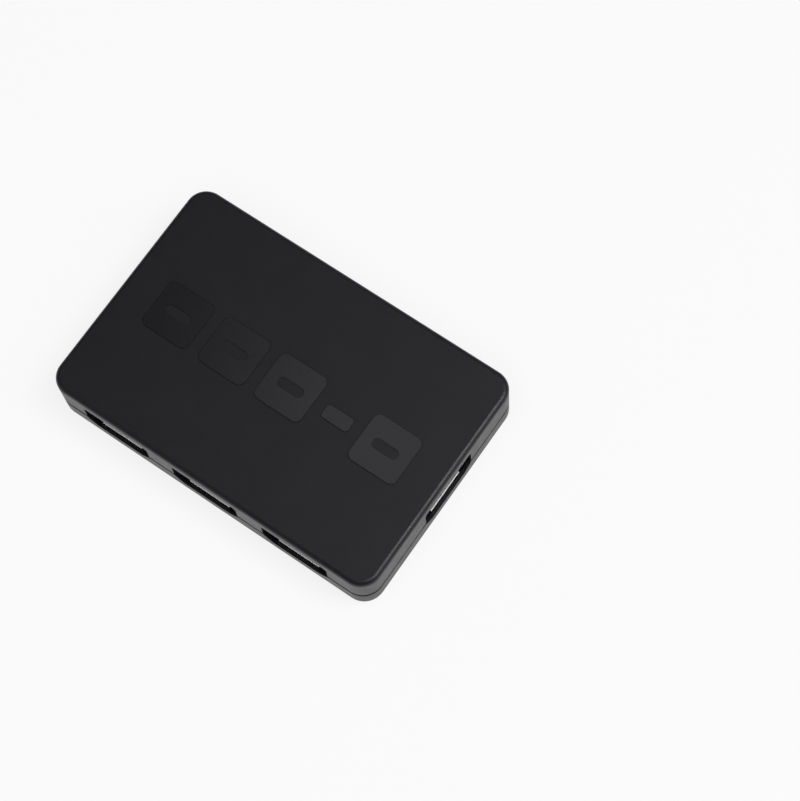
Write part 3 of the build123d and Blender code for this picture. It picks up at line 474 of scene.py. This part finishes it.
def make_materials(scene):
    """Every finish of the object, by the name of its slot in the record."""
    along_y, along_z = (1, 0.08, 1), (1, 1, 0.08)
    tin = (0.66, 0.66, 0.65, 1)
    steel = metal_material("plated_sheet", tuple(scene.switch_socket.metal), 0.16, along_y, depth=0.0008 * MM)
    # The lips' front edges get a painted highlight in the tin colour.
    paint_lip_edge_highlight(steel, tin)
    return {
        "case_plastic": case_material(scene.switch_case),
        "button_plastic": button_material(),
        "window_plastic": window_material(),
        "lamp_resin": lamp_material(),
        "shell_steel": steel,
        "socket_insulator": plain_material("black_insulator", (0.010, 0.010, 0.011, 1), 0.45, 0.18 * MM),
        "contact_gold": metal_material("gold_plating", (0.83, 0.60, 0.24, 1), 0.20, along_y, 0.9),
        "board_laminate": board_material(),
        "chip_epoxy": plain_material("moulding_compound", (0.014, 0.014, 0.016, 1), 0.52, 0.12 * MM, 0.2),
        "lead_tin": metal_material("tinned_leads", tin, 0.34, along_z),
        "crystal_steel": metal_material("pressed_can", (0.70, 0.69, 0.66, 1), 0.22, along_z),
        "capacitor_can": metal_material("bare_aluminium", (0.78, 0.78, 0.80, 1), 0.28, along_z),
        "base_plastic": plain_material("base_black", (0.018, 0.018, 0.020, 1), 0.5, 0.2 * MM),
        "chip_ceramic": plain_material("tan_ceramic", (0.36, 0.23, 0.12, 1), 0.45, 0.1 * MM, 0.1),
        "resistor_glaze": plain_material(
            "dark_glaze", (0.012, 0.012, 0.014, 1), 0.18, 0.1 * MM, 0.1, coat=0.5
        ),
        "switch_nylon": plain_material("black_nylon", (0.017, 0.016, 0.015, 1), 0.5, 0.2 * MM),
        "plunger_plastic": plain_material("dark_plastic", (0.035, 0.032, 0.030, 1), 0.4, 0.15 * MM),
        "dome_steel": metal_material("spring_steel", (0.62, 0.62, 0.60, 1), 0.2, along_z),
        "jack_plastic": plain_material("jack_black", (0.013, 0.013, 0.014, 1), 0.42, 0.2 * MM),
        "screw_steel": metal_material("zinc_plating", (0.60, 0.60, 0.58, 1), 0.3, along_z, 0.8),
        "receiver_resin": plain_material(
            "dark_resin", (0.011, 0.009, 0.010, 1), 0.2, 0.4 * MM, 0.2, coat=0.4
        ),
    }


# The name of each slot's material, which the first step fills in
MATERIAL_NAMES = {}


def finish_of(slot):
    """The material of a slot."""
    return bpy.data.materials[MATERIAL_NAMES[slot]]


# Meshes


def add_object(name, data):
    """Puts a mesh, a lamp or a camera into the scene."""
    item = bpy.data.objects.new(name, data)
    bpy.context.scene.collection.objects.link(item)
    return item


def link_piece(name, mesh, slot, body, replaced):
    """Puts a finished mesh into the scene as a piece of the object."""
    piece = add_object(name, mesh)
    mesh.materials.clear()
    mesh.materials.append(finish_of(slot))
    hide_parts(*replaced)
    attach(piece, body)


def merged_copy(node):
    """A copy of a node's mesh with its loose triangles joined and flat faces made whole."""
    work = bmesh.new()
    work.from_mesh(NODES[node].data)
    bmesh.ops.remove_doubles(work, verts=work.verts, dist=MERGE_DISTANCE)
    bmesh.ops.dissolve_limit(
        work, angle_limit=math.radians(FLAT), verts=work.verts, edges=work.edges,
        use_dissolve_boundaries=False,
    )
    return work


def shade_by_angle(mesh, degrees):
    """Smooth shading, with edges sharper than an angle left crisp and large faces kept flat."""
    mesh.polygons.foreach_set("use_smooth", [True] * len(mesh.polygons))
    mesh.set_sharp_from_angle(angle=math.radians(degrees))
    face_of = {loop: face.index for face in mesh.polygons for loop in face.loop_indices}
    lean = [Vector() for _ in mesh.loops]
    for fan in smooth_fans(mesh, face_of):
        total = Vector()
        for loop in fan:
            face = mesh.polygons[face_of[loop]]
            total += face.normal * face.area
        for loop in fan:
            lean[loop] = total
    mesh.normals_split_custom_set([n.normalized() if n.length else n for n in lean])


def smooth_fans(mesh, face_of):
    """Groups of face corners that share a point and are joined by edges that aren't sharp."""
    corners, spokes, face_corner = {}, {}, {}
    for loop, face in face_of.items():
        point = mesh.loops[loop].vertex_index
        corners.setdefault(point, []).append(loop)
        spokes.setdefault(mesh.loops[loop].edge_index, []).append(face)
        face_corner[(face, point)] = loop
    edges_at = {}
    for edge in mesh.edges:
        if not edge.use_edge_sharp and len(spokes.get(edge.index, ())) == 2:
            for point in edge.vertices:
                edges_at.setdefault(point, []).append(spokes[edge.index])
    for point, loops in corners.items():
        owner = {loop: {loop} for loop in loops}
        for first, second in edges_at.get(point, ()):
            a, b = face_corner[(first, point)], face_corner[(second, point)]
            if owner[a] is not owner[b]:
                merged = owner[a] | owner[b]
                for loop in merged:
                    owner[loop] = merged
        yield from {id(fan): fan for fan in owner.values()}.values()


def soften(work, width, degrees, accept=None, segments=2):
    """Rounds the sharp edges by a small width: those that the test accepts, or all where there is no test."""
    edges = []
    for edge in work.edges:
        if len(edge.link_faces) != 2:
            continue
        if edge.calc_face_angle(0) > math.radians(degrees) and (accept is None or accept(edge)):
            edges.append(edge)
    if edges:
        bmesh.ops.bevel(
            work, geom=edges, offset=width, offset_type="OFFSET", segments=segments, profile=0.5,
            affect="EDGES", clamp_overlap=True, miter_outer="ARC",
        )


def to_mesh(work, name, degrees=CREASE):
    """Turns a worked mesh into a finished one."""
    mesh = bpy.data.meshes.new(name)
    work.to_mesh(mesh)
    work.free()
    shade_by_angle(mesh, degrees)
    return mesh


def softened_piece(node, name, slot, body, width, degrees=CREASE):
    """A piece that stands for a node, with its sharp edges rounded."""
    work = merged_copy(node)
    soften(work, width, degrees)
    link_piece(name, to_mesh(work, name), slot, body, (node,))


# Geometry node trees


def new_tree(name, sizes):
    """A node tree with inputs for the places, for each named size and for the material."""
    tree = bpy.data.node_groups.new(name, "GeometryNodeTree")
    tree.interface.new_socket("Places", in_out="INPUT", socket_type="NodeSocketGeometry")
    for label, value in sizes.items():
        kind = "NodeSocketInt" if isinstance(value, int) else "NodeSocketFloat"
        tree.interface.new_socket(label, in_out="INPUT", socket_type=kind).default_value = value
    tree.interface.new_socket("Material", in_out="INPUT", socket_type="NodeSocketMaterial")
    tree.interface.new_socket("Geometry", in_out="OUTPUT", socket_type="NodeSocketGeometry")
    entry, end = tree.nodes.new("NodeGroupInput"), tree.nodes.new("NodeGroupOutput")
    return tree, entry.outputs, end.inputs


def position_parts(tree):
    """The X, Y and Z of each point."""
    position = tree.nodes.new("GeometryNodeInputPosition")
    return wire(tree, "ShaderNodeSeparateXYZ", Vector=position.outputs[0]).outputs


def pick(tree, index, values, data_type):
    """The value that stands at an index of a list. Each is plain or an output socket."""
    node = wire(tree, "GeometryNodeIndexSwitch", data_type=data_type)
    while len(node.index_switch_items) < len(values):
        node.index_switch_items.new()
    tree.links.new(index, node.inputs[0])
    for number, value in enumerate(values):
        connect(tree, value, node.inputs[number + 1])
    return node.outputs[0]


def finish_tree(tree, geometry, material, ends):
    """Realizes instances, sets the material and ends the tree."""
    real = wire(tree, "GeometryNodeRealizeInstances", Geometry=geometry)
    made = wire(tree, "GeometryNodeSetMaterial", Geometry=real.outputs[0], Material=material)
    tree.links.new(made.outputs[0], ends[0])


def bent_strip_tree():
    """Rows of bent metal strips: a run, a drop and a foot, at every place of the input mesh."""
    tree, given, ends = new_tree("bent_strip_rows", {
        "Count": 1, "Pitch": 1.0 * MM, "Strip Width": 0.3 * MM, "Strip Thickness": 0.15 * MM,
        "Run Start": 0.0, "Drop At": 1.0 * MM, "Foot End": 2.0 * MM, "Run Height": 1.0 * MM,
        "Bend Radius": 0.1 * MM,
    })
    foot_height = calc(tree, "MULTIPLY", given["Strip Thickness"], 0.5)
    corners = (
        (given["Run Start"], given["Run Height"]),
        (given["Drop At"], given["Run Height"]),
        (given["Drop At"], foot_height),
        (given["Foot End"], foot_height),
    )
    points = [wire(tree, "ShaderNodeCombineXYZ", Y=y, Z=z).outputs[0] for y, z in corners]
    index = tree.nodes.new("GeometryNodeInputIndex").outputs[0]
    path = wire(tree, "GeometryNodePoints", Count=len(points), Position=pick(tree, index, points, "VECTOR"))
    path = wire(tree, "GeometryNodePointsToCurves", Points=path.outputs[0])
    bend = wire(
        tree, "GeometryNodeFilletCurve", mode="POLY", Curve=path.outputs[0], Count=3,
        Radius=given["Bend Radius"],
    )
    section = wire(
        tree, "GeometryNodeCurvePrimitiveQuadrilateral", mode="RECTANGLE",
        Width=given["Strip Width"], Height=given["Strip Thickness"],
    )
    strip = wire(
        tree, "GeometryNodeCurveToMesh", Curve=bend.outputs[0], Profile_Curve=section.outputs[0],
        Fill_Caps=True,
    )
    half = calc(tree, "MULTIPLY", calc(tree, "SUBTRACT", given["Count"], 1.0), 0.5)
    start_x = calc(tree, "MULTIPLY", calc(tree, "MULTIPLY", half, given["Pitch"]), -1.0)
    start = wire(tree, "ShaderNodeCombineXYZ", X=start_x)
    step = wire(tree, "ShaderNodeCombineXYZ", X=given["Pitch"])
    line = wire(
        tree, "GeometryNodeMeshLine", mode="OFFSET", Count=given["Count"],
        Start_Location=start.outputs[0], Offset=step.outputs[0],
    )
    row = wire(tree, "GeometryNodeInstanceOnPoints", Points=line.outputs[0], Instance=strip.outputs[0])
    turn = wire(tree, "GeometryNodeInputNamedAttribute", data_type="FLOAT", Name="turn")
    angles = wire(tree, "ShaderNodeCombineXYZ", Z=turn.outputs[0])
    rotation = wire(tree, "FunctionNodeEulerToRotation", Euler=angles.outputs[0])
    rows = wire(
        tree, "GeometryNodeInstanceOnPoints", Points=given["Places"], Instance=row.outputs[0],
        Rotation=rotation.outputs[0],
    )
    finish_tree(tree, rows.outputs[0], given["Material"], ends)
    return tree


def wrapped_grid(tree, segments, rows):
    """A flat grid to wrap round Z, with each point's share of the turn and of the way up."""
    grid = wire(
        tree, "GeometryNodeMeshGrid", Size_X=1.0, Size_Y=1.0, Vertices_X=segments + 1, Vertices_Y=rows
    )
    parts = position_parts(tree)
    return grid.outputs[0], calc(tree, "ADD", parts[0], 0.5), calc(tree, "ADD", parts[1], 0.5)


def wrap(tree, grid, radius, around, height):
    """Wraps a flat grid round Z and joins the points that meet."""
    angle = calc(tree, "MULTIPLY", around, math.tau)
    position = wire(
        tree, "ShaderNodeCombineXYZ", X=calc(tree, "MULTIPLY", radius, calc(tree, "COSINE", angle)),
        Y=calc(tree, "MULTIPLY", radius, calc(tree, "SINE", angle)), Z=height,
    )
    wrapped = wire(tree, "GeometryNodeSetPosition", Geometry=grid, Position=position.outputs[0])
    closed = wire(tree, "GeometryNodeMergeByDistance", Geometry=wrapped.outputs[0], Distance=WRAP_DISTANCE)
    return closed.outputs[0]


def turned_part(tree, profile, segments):
    """A shape turned round Z, whose rows follow a list of (radius, height)."""
    grid, around, along = wrapped_grid(tree, segments, len(profile))
    row = calc(tree, "ROUND", calc(tree, "MULTIPLY", along, len(profile) - 1.0))
    radius = pick(tree, row, [pair[0] for pair in profile], "FLOAT")
    height = pick(tree, row, [pair[1] for pair in profile], "FLOAT")
    return wrap(tree, grid, radius, around, height)


def screw_tree():
    """Screws, heads down, at every place of the input mesh: a head with a cross and a threaded shank."""
    tree, given, ends = new_tree("case_screw_set", {
        "Head Radius": 2.1 * MM, "Head Low": 0.5 * MM, "Head High": 2.0 * MM, "Shank Radius": 1.15 * MM,
        "Shank End": 10.0 * MM, "Thread Pitch": 0.8 * MM, "Thread Depth": 0.28 * MM,
        "Cross Length": 2.4 * MM, "Cross Width": 0.6 * MM, "Cross Depth": 0.9 * MM,
    })
    head_segments, cross_narrowing, valley_power = 48, 0.42, 0.6
    turns, steps, segments = 12, 6, 24
    tip_share, tip_steepness, closed_end = 0.35, 6.0, 1e-5
    radius, low, high = given["Head Radius"], given["Head Low"], given["Head High"]

    def at(share, rise):
        """A point of the head's outline."""
        return (
            calc(tree, "MULTIPLY", radius, share),
            calc(tree, "ADD", low, calc(tree, "MULTIPLY", calc(tree, "SUBTRACT", high, low), rise)),
        )

    outline = [(0.0, low), at(0.62, 0.0), at(0.74, 0.03), at(0.85, 0.10), at(0.93, 0.21), at(0.98, 0.36)]
    outline += [at(1.0, 0.55), at(1.0, 0.97), at(0.98, 1.0), (0.0, high)]
    head = wire(tree, "GeometryNodeFlipFaces", Mesh=turned_part(tree, outline, head_segments)).outputs[0]
    lift = wire(tree, "ShaderNodeCombineXYZ", Z=low)
    for first, second, share in (("Cross Length", "Cross Width", 2.0), ("Cross Width", "Cross Length", 1.94)):
        height = calc(tree, "MULTIPLY", given["Cross Depth"], share)
        size = wire(tree, "ShaderNodeCombineXYZ", X=given[first], Y=given[second], Z=height)
        bar = wire(tree, "GeometryNodeMeshCube", Size=size.outputs[0]).outputs[0]
        # The bar is narrower at the bottom of the cross.
        x, y, z = position_parts(tree)
        inner = calc(tree, "GREATER_THAN", z, 0.0)
        shrink = calc(tree, "SUBTRACT", 1.0, calc(tree, "MULTIPLY", inner, cross_narrowing))
        narrow = wire(
            tree, "ShaderNodeCombineXYZ", X=calc(tree, "MULTIPLY", x, shrink),
            Y=calc(tree, "MULTIPLY", y, shrink), Z=z,
        )
        bar = wire(tree, "GeometryNodeSetPosition", Geometry=bar, Position=narrow.outputs[0]).outputs[0]
        bar = wire(tree, "GeometryNodeTransform", Geometry=bar, Translation=lift.outputs[0]).outputs[0]
        head = wire(tree, "GeometryNodeMeshBoolean", operation="DIFFERENCE", i0=head, Mesh_2=bar).outputs[0]

    grid, around, along = wrapped_grid(tree, segments, turns * steps + 1)
    left = calc(tree, "SUBTRACT", 1.0, along)
    rise = calc(tree, "MULTIPLY", along, calc(tree, "SUBTRACT", given["Shank End"], high))
    phase = calc(tree, "FRACT", calc(tree, "ADD", calc(tree, "DIVIDE", rise, given["Thread Pitch"]), around))
    valley = calc(tree, "MULTIPLY", calc(tree, "PINGPONG", phase, 0.5), 2.0)
    deep = calc(tree, "MULTIPLY", calc(tree, "POWER", valley, valley_power), given["Thread Depth"])
    full = calc(tree, "SUBTRACT", given["Shank Radius"], deep)
    taper = calc(tree, "MINIMUM", calc(tree, "MULTIPLY", left, tip_steepness), 1.0)
    taper = calc(tree, "ADD", tip_share, calc(tree, "MULTIPLY", taper, 1 - tip_share))
    inside = calc(tree, "GREATER_THAN", calc(tree, "MULTIPLY", along, left), closed_end)
    wide = calc(tree, "MULTIPLY", calc(tree, "MULTIPLY", full, taper), inside)
    shank = wrap(tree, grid, wide, around, calc(tree, "ADD", rise, high))
    whole = wire(tree, "GeometryNodeJoinGeometry", Geometry=head)
    tree.links.new(shank, whole.inputs[0])
    screws = wire(tree, "GeometryNodeInstanceOnPoints", Points=given["Places"], Instance=whole.outputs[0])
    finish_tree(tree, screws.outputs[0], given["Material"], ends)
    return tree


def grow(tree, places, values, name):
    """Runs a tree on a mesh of places, each (point, turn), and gives back the plain mesh that it makes."""
    mesh = bpy.data.meshes.new(name + "_places")
    mesh.from_pydata([point for point, _ in places], [], [])
    turns = mesh.attributes.new("turn", "FLOAT", "POINT")
    turns.data.foreach_set("value", [turn for _, turn in places])
    holder = add_object(name + "_places", mesh)
    modifier = holder.modifiers.new("Rows", "NODES")
    modifier.node_group = tree
    for item in tree.interface.items_tree:
        if item.in_out == "INPUT" and item.name in values:
            modifier[item.identifier] = values[item.name]
    depsgraph = bpy.context.evaluated_depsgraph_get()
    result = bpy.data.meshes.new_from_object(holder.evaluated_get(depsgraph), depsgraph=depsgraph)
    holder.modifiers.clear()
    bpy.data.objects.remove(holder)
    bpy.data.meshes.remove(mesh)
    return result


def joined(meshes, name):
    """Several meshes as one, with faces outward and shaded by angle."""
    work = bmesh.new()
    for mesh in meshes:
        work.from_mesh(mesh)
        bpy.data.meshes.remove(mesh)
    loose = [vert for vert in work.verts if not vert.link_faces]
    bmesh.ops.delete(work, geom=loose, context="VERTS")
    bmesh.ops.recalc_face_normals(work, faces=work.faces)
    return to_mesh(work, name)


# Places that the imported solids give


def socket_place(socket):
    """Where a socket's mouth stands on the board, and how it is turned."""
    low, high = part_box(socket + "_insulator")
    if socket == "output":
        return (RIGHT_X, (low.y + high.y) / 2, BOARD_TOP), math.pi / 2
    return ((low.x + high.x) / 2, FRONT_Y, BOARD_TOP), 0.0


def islands(node):
    """The boxes of the separate solids in a node's mesh, as (lowest, highest) corners."""
    work = bmesh.new()
    work.from_mesh(NODES[node].data)
    bmesh.ops.remove_doubles(work, verts=work.verts, dist=MERGE_DISTANCE)
    seen, boxes = set(), []
    for first in work.verts:
        if first in seen:
            continue
        seen.add(first)
        front, points = [first], []
        while front:
            vert = front.pop()
            points.append(vert.co.copy())
            for edge in vert.link_edges:
                other = edge.other_vert(vert)
                if other not in seen:
                    seen.add(other)
                    front.append(other)
        low = Vector([min(p[i] for p in points) for i in range(3)])
        high = Vector([max(p[i] for p in points) for i in range(3)])
        boxes.append((low, high))
    work.free()
    return boxes


# Operators, one for each piece or group of like pieces


class BuildOperator(bpy.types.Operator):
    """A building step that stops the script when it can't finish."""

    bl_options = {"REGISTER", "UNDO"}

    def execute(self, context):
        """Runs the step."""
        self.build(context.scene)
        return {"FINISHED"}


class SWITCH_OT_finishes(BuildOperator):
    """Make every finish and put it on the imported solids"""

    bl_idname = "switch.finishes"
    bl_label = "Finishes"

    def build(self, scene):
        """Makes the materials and assigns them to the nodes."""
        for slot, material in make_materials(scene).items():
            MATERIAL_NAMES[slot] = material.name
        slots = {part["node"]: part["material_slot"] for part in frame["record"]["subparts"]}
        for node, piece in NODES.items():
            piece.data.materials.clear()
            piece.data.materials.append(finish_of(slots[node]))


class SWITCH_OT_covers(BuildOperator):
    """Make the top and bottom covers with softened rims"""

    bl_idname = "switch.covers"
    bl_label = "Covers"

    def build(self, scene):
        """Softens the rims that can be seen from outside."""
        rim = scene.switch_case.rim
        softened_cover("top_cover", "top_shell", rim, min, outer_edge)
        softened_cover("bottom_cover", "bottom_shell", rim, max, outer_or_under_edge)


def softened_cover(node, name, rim, seam_side, accept):
    """A cover with a rounder rim at the seam. Seam side is min or max, for the walls' end at the seam."""
    work = merged_copy(node)
    seam_z = seam_side(v.co.z for v in work.verts if near_wall(v.co))

    def at_seam(edge):
        """True for an outer edge at the height of the seam."""
        return all(abs(v.co.z - seam_z) < LEVEL_MARGIN and near_wall(v.co) for v in edge.verts)

    soften(work, SEAM_ROUND, CREASE, at_seam, 4)
    soften(work, rim, CREASE, accept)
    link_piece(name, to_mesh(work, name), "case_plastic", CASE, (node,))


def outer_edge(edge):
    """True for an edge on the outer walls, and false for edges near the top, where the raised tiles are."""
    if min(v.co.z for v in edge.verts) > TOP_FACE - TOP_BAND:
        return False
    return all(near_wall(v.co) for v in edge.verts)


def outer_or_under_edge(edge):
    """True for an edge on the outer walls and for the rims of the screw recesses."""
    return outer_edge(edge) or all(v.co.z < LEVEL_MARGIN for v in edge.verts)


def near_wall(point):
    """True where a point lies on the outer walls or the corners between them."""
    return max(abs(point.x) - RIGHT_X, abs(point.y) - BACK_Y) > -WALL_MARGIN or near_corner(point)


def near_corner(point):
    """True where a point lies on the rounded corners of the case."""
    x, y = abs(point.x) - (RIGHT_X - CORNER_RADIUS), abs(point.y) - (BACK_Y - CORNER_RADIUS)
    return x > 0 and y > 0 and math.hypot(x, y) > CORNER_RADIUS - WALL_MARGIN


class SWITCH_OT_socket_shells(BuildOperator):
    """Make the folded steel shells of the sockets"""

    bl_idname = "switch.socket_shells"
    bl_label = "Socket shells"

    def build(self, scene):
        """Levels the top of each lower lip, then rounds its front edge and the other sheared edges."""
        for socket in SOCKETS:
            node, name = socket + "_shell", socket + "_steel"
            work = merged_copy(node)
            front = [v for v in work.verts if behind_wall(v.co) < MOUTH_LIP + LIP_DEPTH]
            rim = [v for v in front if 0 < v.co.z - BOARD_TOP < LIP_REACH]
            for point in rim:
                point.co.z = BOARD_TOP + LIP_TOP
            soften(work, LIP_ROUND, SHEET_CREASE, lambda edge: all(v in rim for v in edge.verts), 3)
            soften(work, SHEET_ROUND, SHEET_CREASE)
            link_piece(name, to_mesh(work, name, SHEET_CREASE), "shell_steel", CASE, (node,))


def behind_wall(point):
    """How far a point lies behind the front wall's face or the right wall's, whichever is nearer."""
    return min(point.y - FRONT_Y, RIGHT_X - point.x)


class SWITCH_OT_socket_contacts(BuildOperator):
    """Make the rows of gold contacts in the sockets"""

    bl_idname = "switch.socket_contacts"
    bl_label = "Socket contacts"

    def build(self, scene):
        """Grows both rows of every socket from one tree."""
        sizes = scene.switch_socket
        tree = bent_strip_tree()
        low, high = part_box("input_1_contacts")
        tongue_top = high.z - BOARD_TOP
        run_start, foot_end = low.y - FRONT_Y, high.y - FRONT_Y
        drop_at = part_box("input_1_insulator")[1].y - FRONT_Y + sizes.thickness / 2
        tongue_thickness, proud, bend_radius = 1.3 * MM, 0.05 * MM, 0.12 * MM
        upper_height = tongue_top - sizes.thickness / 2
        lower_height = tongue_top - 2 * proud - tongue_thickness + sizes.thickness / 2
        for socket in SOCKETS:
            meshes = []
            for count, height in ((sizes.upper, upper_height), (sizes.lower, lower_height)):
                values = {
                    "Count": count, "Pitch": sizes.pitch, "Strip Width": sizes.width,
                    "Strip Thickness": sizes.thickness, "Run Start": run_start, "Drop At": drop_at,
                    "Foot End": foot_end, "Run Height": height, "Bend Radius": bend_radius,
                    "Material": finish_of("contact_gold"),
                }
                meshes.append(grow(tree, [socket_place(socket)], values, socket))
            mesh = joined(meshes, socket + "_gold")
            link_piece(socket + "_gold", mesh, "contact_gold", CASE, (socket + "_contacts",))


class SWITCH_OT_case_screws(BuildOperator):
    """Make the four case screws with their threads and crosses"""

    bl_idname = "switch.case_screws"
    bl_label = "Case screws"

    def build(self, scene):
        """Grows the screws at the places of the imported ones."""
        sizes = scene.switch_screw
        boxes = islands("case_screws")
        low, high = boxes[0]
        head_height, shank_radius = 1.5 * MM, 1.15 * MM
        places = [(((a.x + b.x) / 2, (a.y + b.y) / 2, 0.0), 0.0) for a, b in boxes]
        values = {
            "Head Radius": (high.x - low.x) / 2, "Head Low": low.z, "Head High": low.z + head_height,
            "Shank Radius": shank_radius, "Shank End": high.z, "Thread Pitch": sizes.thread_pitch,
            "Thread Depth": sizes.thread_depth, "Cross Depth": sizes.cross_depth,
            "Material": finish_of("screw_steel"),
        }
        mesh = joined([grow(screw_tree(), places, values, "screws")], "threaded_screws")
        link_piece("threaded_screws", mesh, "screw_steel", CASE, ("case_screws",))


class SWITCH_OT_wall_parts(BuildOperator):
    """Make the button, window, lamps and jack with softened edges"""

    bl_idname = "switch.wall_parts"
    bl_label = "Wall parts"

    def build(self, scene):
        """Softens the parts that show in the back and left walls."""
        softened_piece("select_button", "button_cap", "button_plastic", KEY, 0.08 * MM)
        softened_piece("receiver_window", "window_pane", "window_plastic", CASE, 0.10 * MM)
        softened_piece("jack_body", "jack_moulding", "jack_plastic", CASE, 0.06 * MM, SMALL_CREASE)
        softened_piece("jack_pin", "jack_centre_pin", "shell_steel", CASE, 0.05 * MM, SMALL_CREASE)
        for lamp in LAMPS:
            softened_piece(lamp, lamp + "_lens", "lamp_resin", CASE, 0.06 * MM, SMALL_CREASE)


class SWITCH_OT_stage(BuildOperator):
    """Set up the floor, the sky, the lamps and the camera"""

    bl_idname = "switch.stage"
    bl_label = "Stage"

    def build(self, scene):
        """Builds the stage. Each lamp has its place, width and height in metres."""
        settings = scene.switch_stage
        make_floor(settings)
        make_sky(scene, settings)
        even = make_lamp_panel("even_panel", (0.25, -0.30, 1.30), 1.50, 1.50, settings.level)
        # The even light isn't mirrored in the case.
        even.visible_glossy = False
        make_lamp_panel("side_panel", (0.70, 0.27, 0.70), 0.34, 0.80, settings.side)
        make_lamp_panel("fill_panel", (-0.26, -0.30, 0.25), 0.15, 0.15, settings.fill)
        make_lamp_panel("ceiling_panel", (0.41, 0.22, 0.92), 0.42, 0.42, settings.ceiling)
        make_lamp_panel("relief_panel", (-0.20, 0.235, 1.00), 0.16, 0.16, settings.relief)
        make_camera(scene, settings)
        scene.view_settings.view_transform = "Standard"


def make_floor(settings):
    """A wide pale floor. The camera and mirrors see its own colour, with the object's shadow kept."""
    mesh = bpy.data.meshes.new("studio_floor")
    corners = [(x * FLOOR_HALF, y * FLOOR_HALF, -FLOOR_DROP) for x, y in ((-1, -1), (1, -1), (1, 1), (-1, 1))]
    mesh.from_pydata(corners, [], [(0, 1, 2, 3)])
    floor = add_object("studio_floor", mesh)
    material = bpy.data.materials.new("pale_floor")
    material.use_nodes = True
    tree = material.node_tree
    tree.nodes.clear()
    colour = tuple(settings.floor)
    diffuse = wire(tree, "ShaderNodeBsdfDiffuse", Color=colour)
    glow = wire(tree, "ShaderNodeEmission", Color=colour, Strength=1.0)
    path = tree.nodes.new("ShaderNodeLightPath")
    seen = path.outputs["Is Camera Ray"]
    for ray in ("Is Glossy Ray", "Is Transmission Ray"):
        seen = calc(tree, "MAXIMUM", seen, path.outputs[ray])
    share = calc(tree, "MULTIPLY", seen, FLOOR_SHARE)
    mix = wire(tree, "ShaderNodeMixShader", i0=share, i1=diffuse.outputs[0], i2=glow.outputs[0])
    wire(tree, "ShaderNodeOutputMaterial", Surface=mix.outputs[0])
    mesh.materials.append(material)


def make_sky(scene, settings):
    """A dim even sky that the camera sees as pale as the floor."""
    world = bpy.data.worlds.new("studio_sky")
    scene.world = world
    world.use_nodes = True
    tree = world.node_tree
    tree.nodes.clear()
    even = wire(tree, "ShaderNodeBackground", Strength=settings.sky)
    pale = wire(tree, "ShaderNodeBackground", Color=tuple(settings.floor))
    path = tree.nodes.new("ShaderNodeLightPath")
    seen = path.outputs["Is Camera Ray"]
    mix = wire(tree, "ShaderNodeMixShader", i0=seen, i1=even.outputs[0], i2=pale.outputs[0])
    wire(tree, "ShaderNodeOutputWorld", Surface=mix.outputs[0])


def make_lamp_panel(name, place, width, height, power):
    """A soft rectangular lamp that faces the object."""
    light = bpy.data.lights.new(name, "AREA")
    light.shape = "RECTANGLE"
    light.size, light.size_y = width, height
    light.energy = power
    lamp = add_object(name, light)
    lamp.location = place
    lamp.rotation_mode = "QUATERNION"
    lamp.rotation_quaternion = (-Vector(place)).to_track_quat("-Z", "Y")
    return lamp


def make_camera(scene, settings):
    """The camera at the photograph's angle, fitted to the case's edges."""
    azimuth, elevation, roll = (math.radians(angle) for angle in CAMERA_ANGLES)
    back = Vector((
        math.sin(azimuth) * math.cos(elevation), -math.cos(azimuth) * math.cos(elevation), math.sin(elevation)
    ))
    level = Vector((math.cos(azimuth), math.sin(azimuth), 0))
    upright = back.cross(level)
    right = math.cos(roll) * level + math.sin(roll) * upright
    up = -math.sin(roll) * level + math.cos(roll) * upright
    data = bpy.data.cameras.new("camera")
    data.lens = settings.lens
    data.clip_start, data.clip_end = 0.01, 20
    camera = add_object("camera", data)
    place = -(CAMERA_SHIFT.x * right + CAMERA_SHIFT.y * up + CAMERA_SHIFT.z * back)
    turn = Matrix((right, up, back)).transposed().to_4x4()
    camera.matrix_world = Matrix.Translation(place) @ turn
    scene.camera = camera


STEPS = (
    SWITCH_OT_finishes,
    SWITCH_OT_covers,
    SWITCH_OT_socket_shells,
    SWITCH_OT_socket_contacts,
    SWITCH_OT_case_screws,
    SWITCH_OT_wall_parts,
    SWITCH_OT_stage,
)


class SWITCH_PT_build(bpy.types.Panel):
    """Lists the building steps and their settings."""

    bl_label = "Switch box"
    bl_idname = "SWITCH_PT_build"
    bl_space_type = "VIEW_3D"
    bl_region_type = "UI"
    bl_category = "Switch box"

    def draw(self, context):
        """Draws the settings and one button for each step."""
        for label in SETTINGS:
            box = self.layout.box()
            group = getattr(context.scene, label)
            for key in group.bl_rna.properties.keys():
                if key not in ("rna_type", "name"):
                    box.prop(group, key)
        for step in STEPS:
            self.layout.operator(step.bl_idname)


SETTINGS = {
    "switch_case": CaseSettings,
    "switch_socket": SocketSettings,
    "switch_screw": ScrewSettings,
    "switch_stage": StageSettings,
}
CLASSES = tuple(SETTINGS.values()) + STEPS + (SWITCH_PT_build,)


def register():
    """Registers the settings, the steps and the panel."""
    for item in CLASSES:
        bpy.utils.register_class(item)
    for label, group in SETTINGS.items():
        setattr(bpy.types.Scene, label, PointerProperty(type=group))


def unregister():
    """Takes the settings, the steps and the panel away again."""
    for label in SETTINGS:
        delattr(bpy.types.Scene, label)
    for item in reversed(CLASSES):
        bpy.utils.unregister_class(item)


def main():
    register()
    for step in STEPS:
        group, name = step.bl_idname.split(".")
        getattr(getattr(bpy.ops, group), name)()


if __name__ == "__main__":
    main()
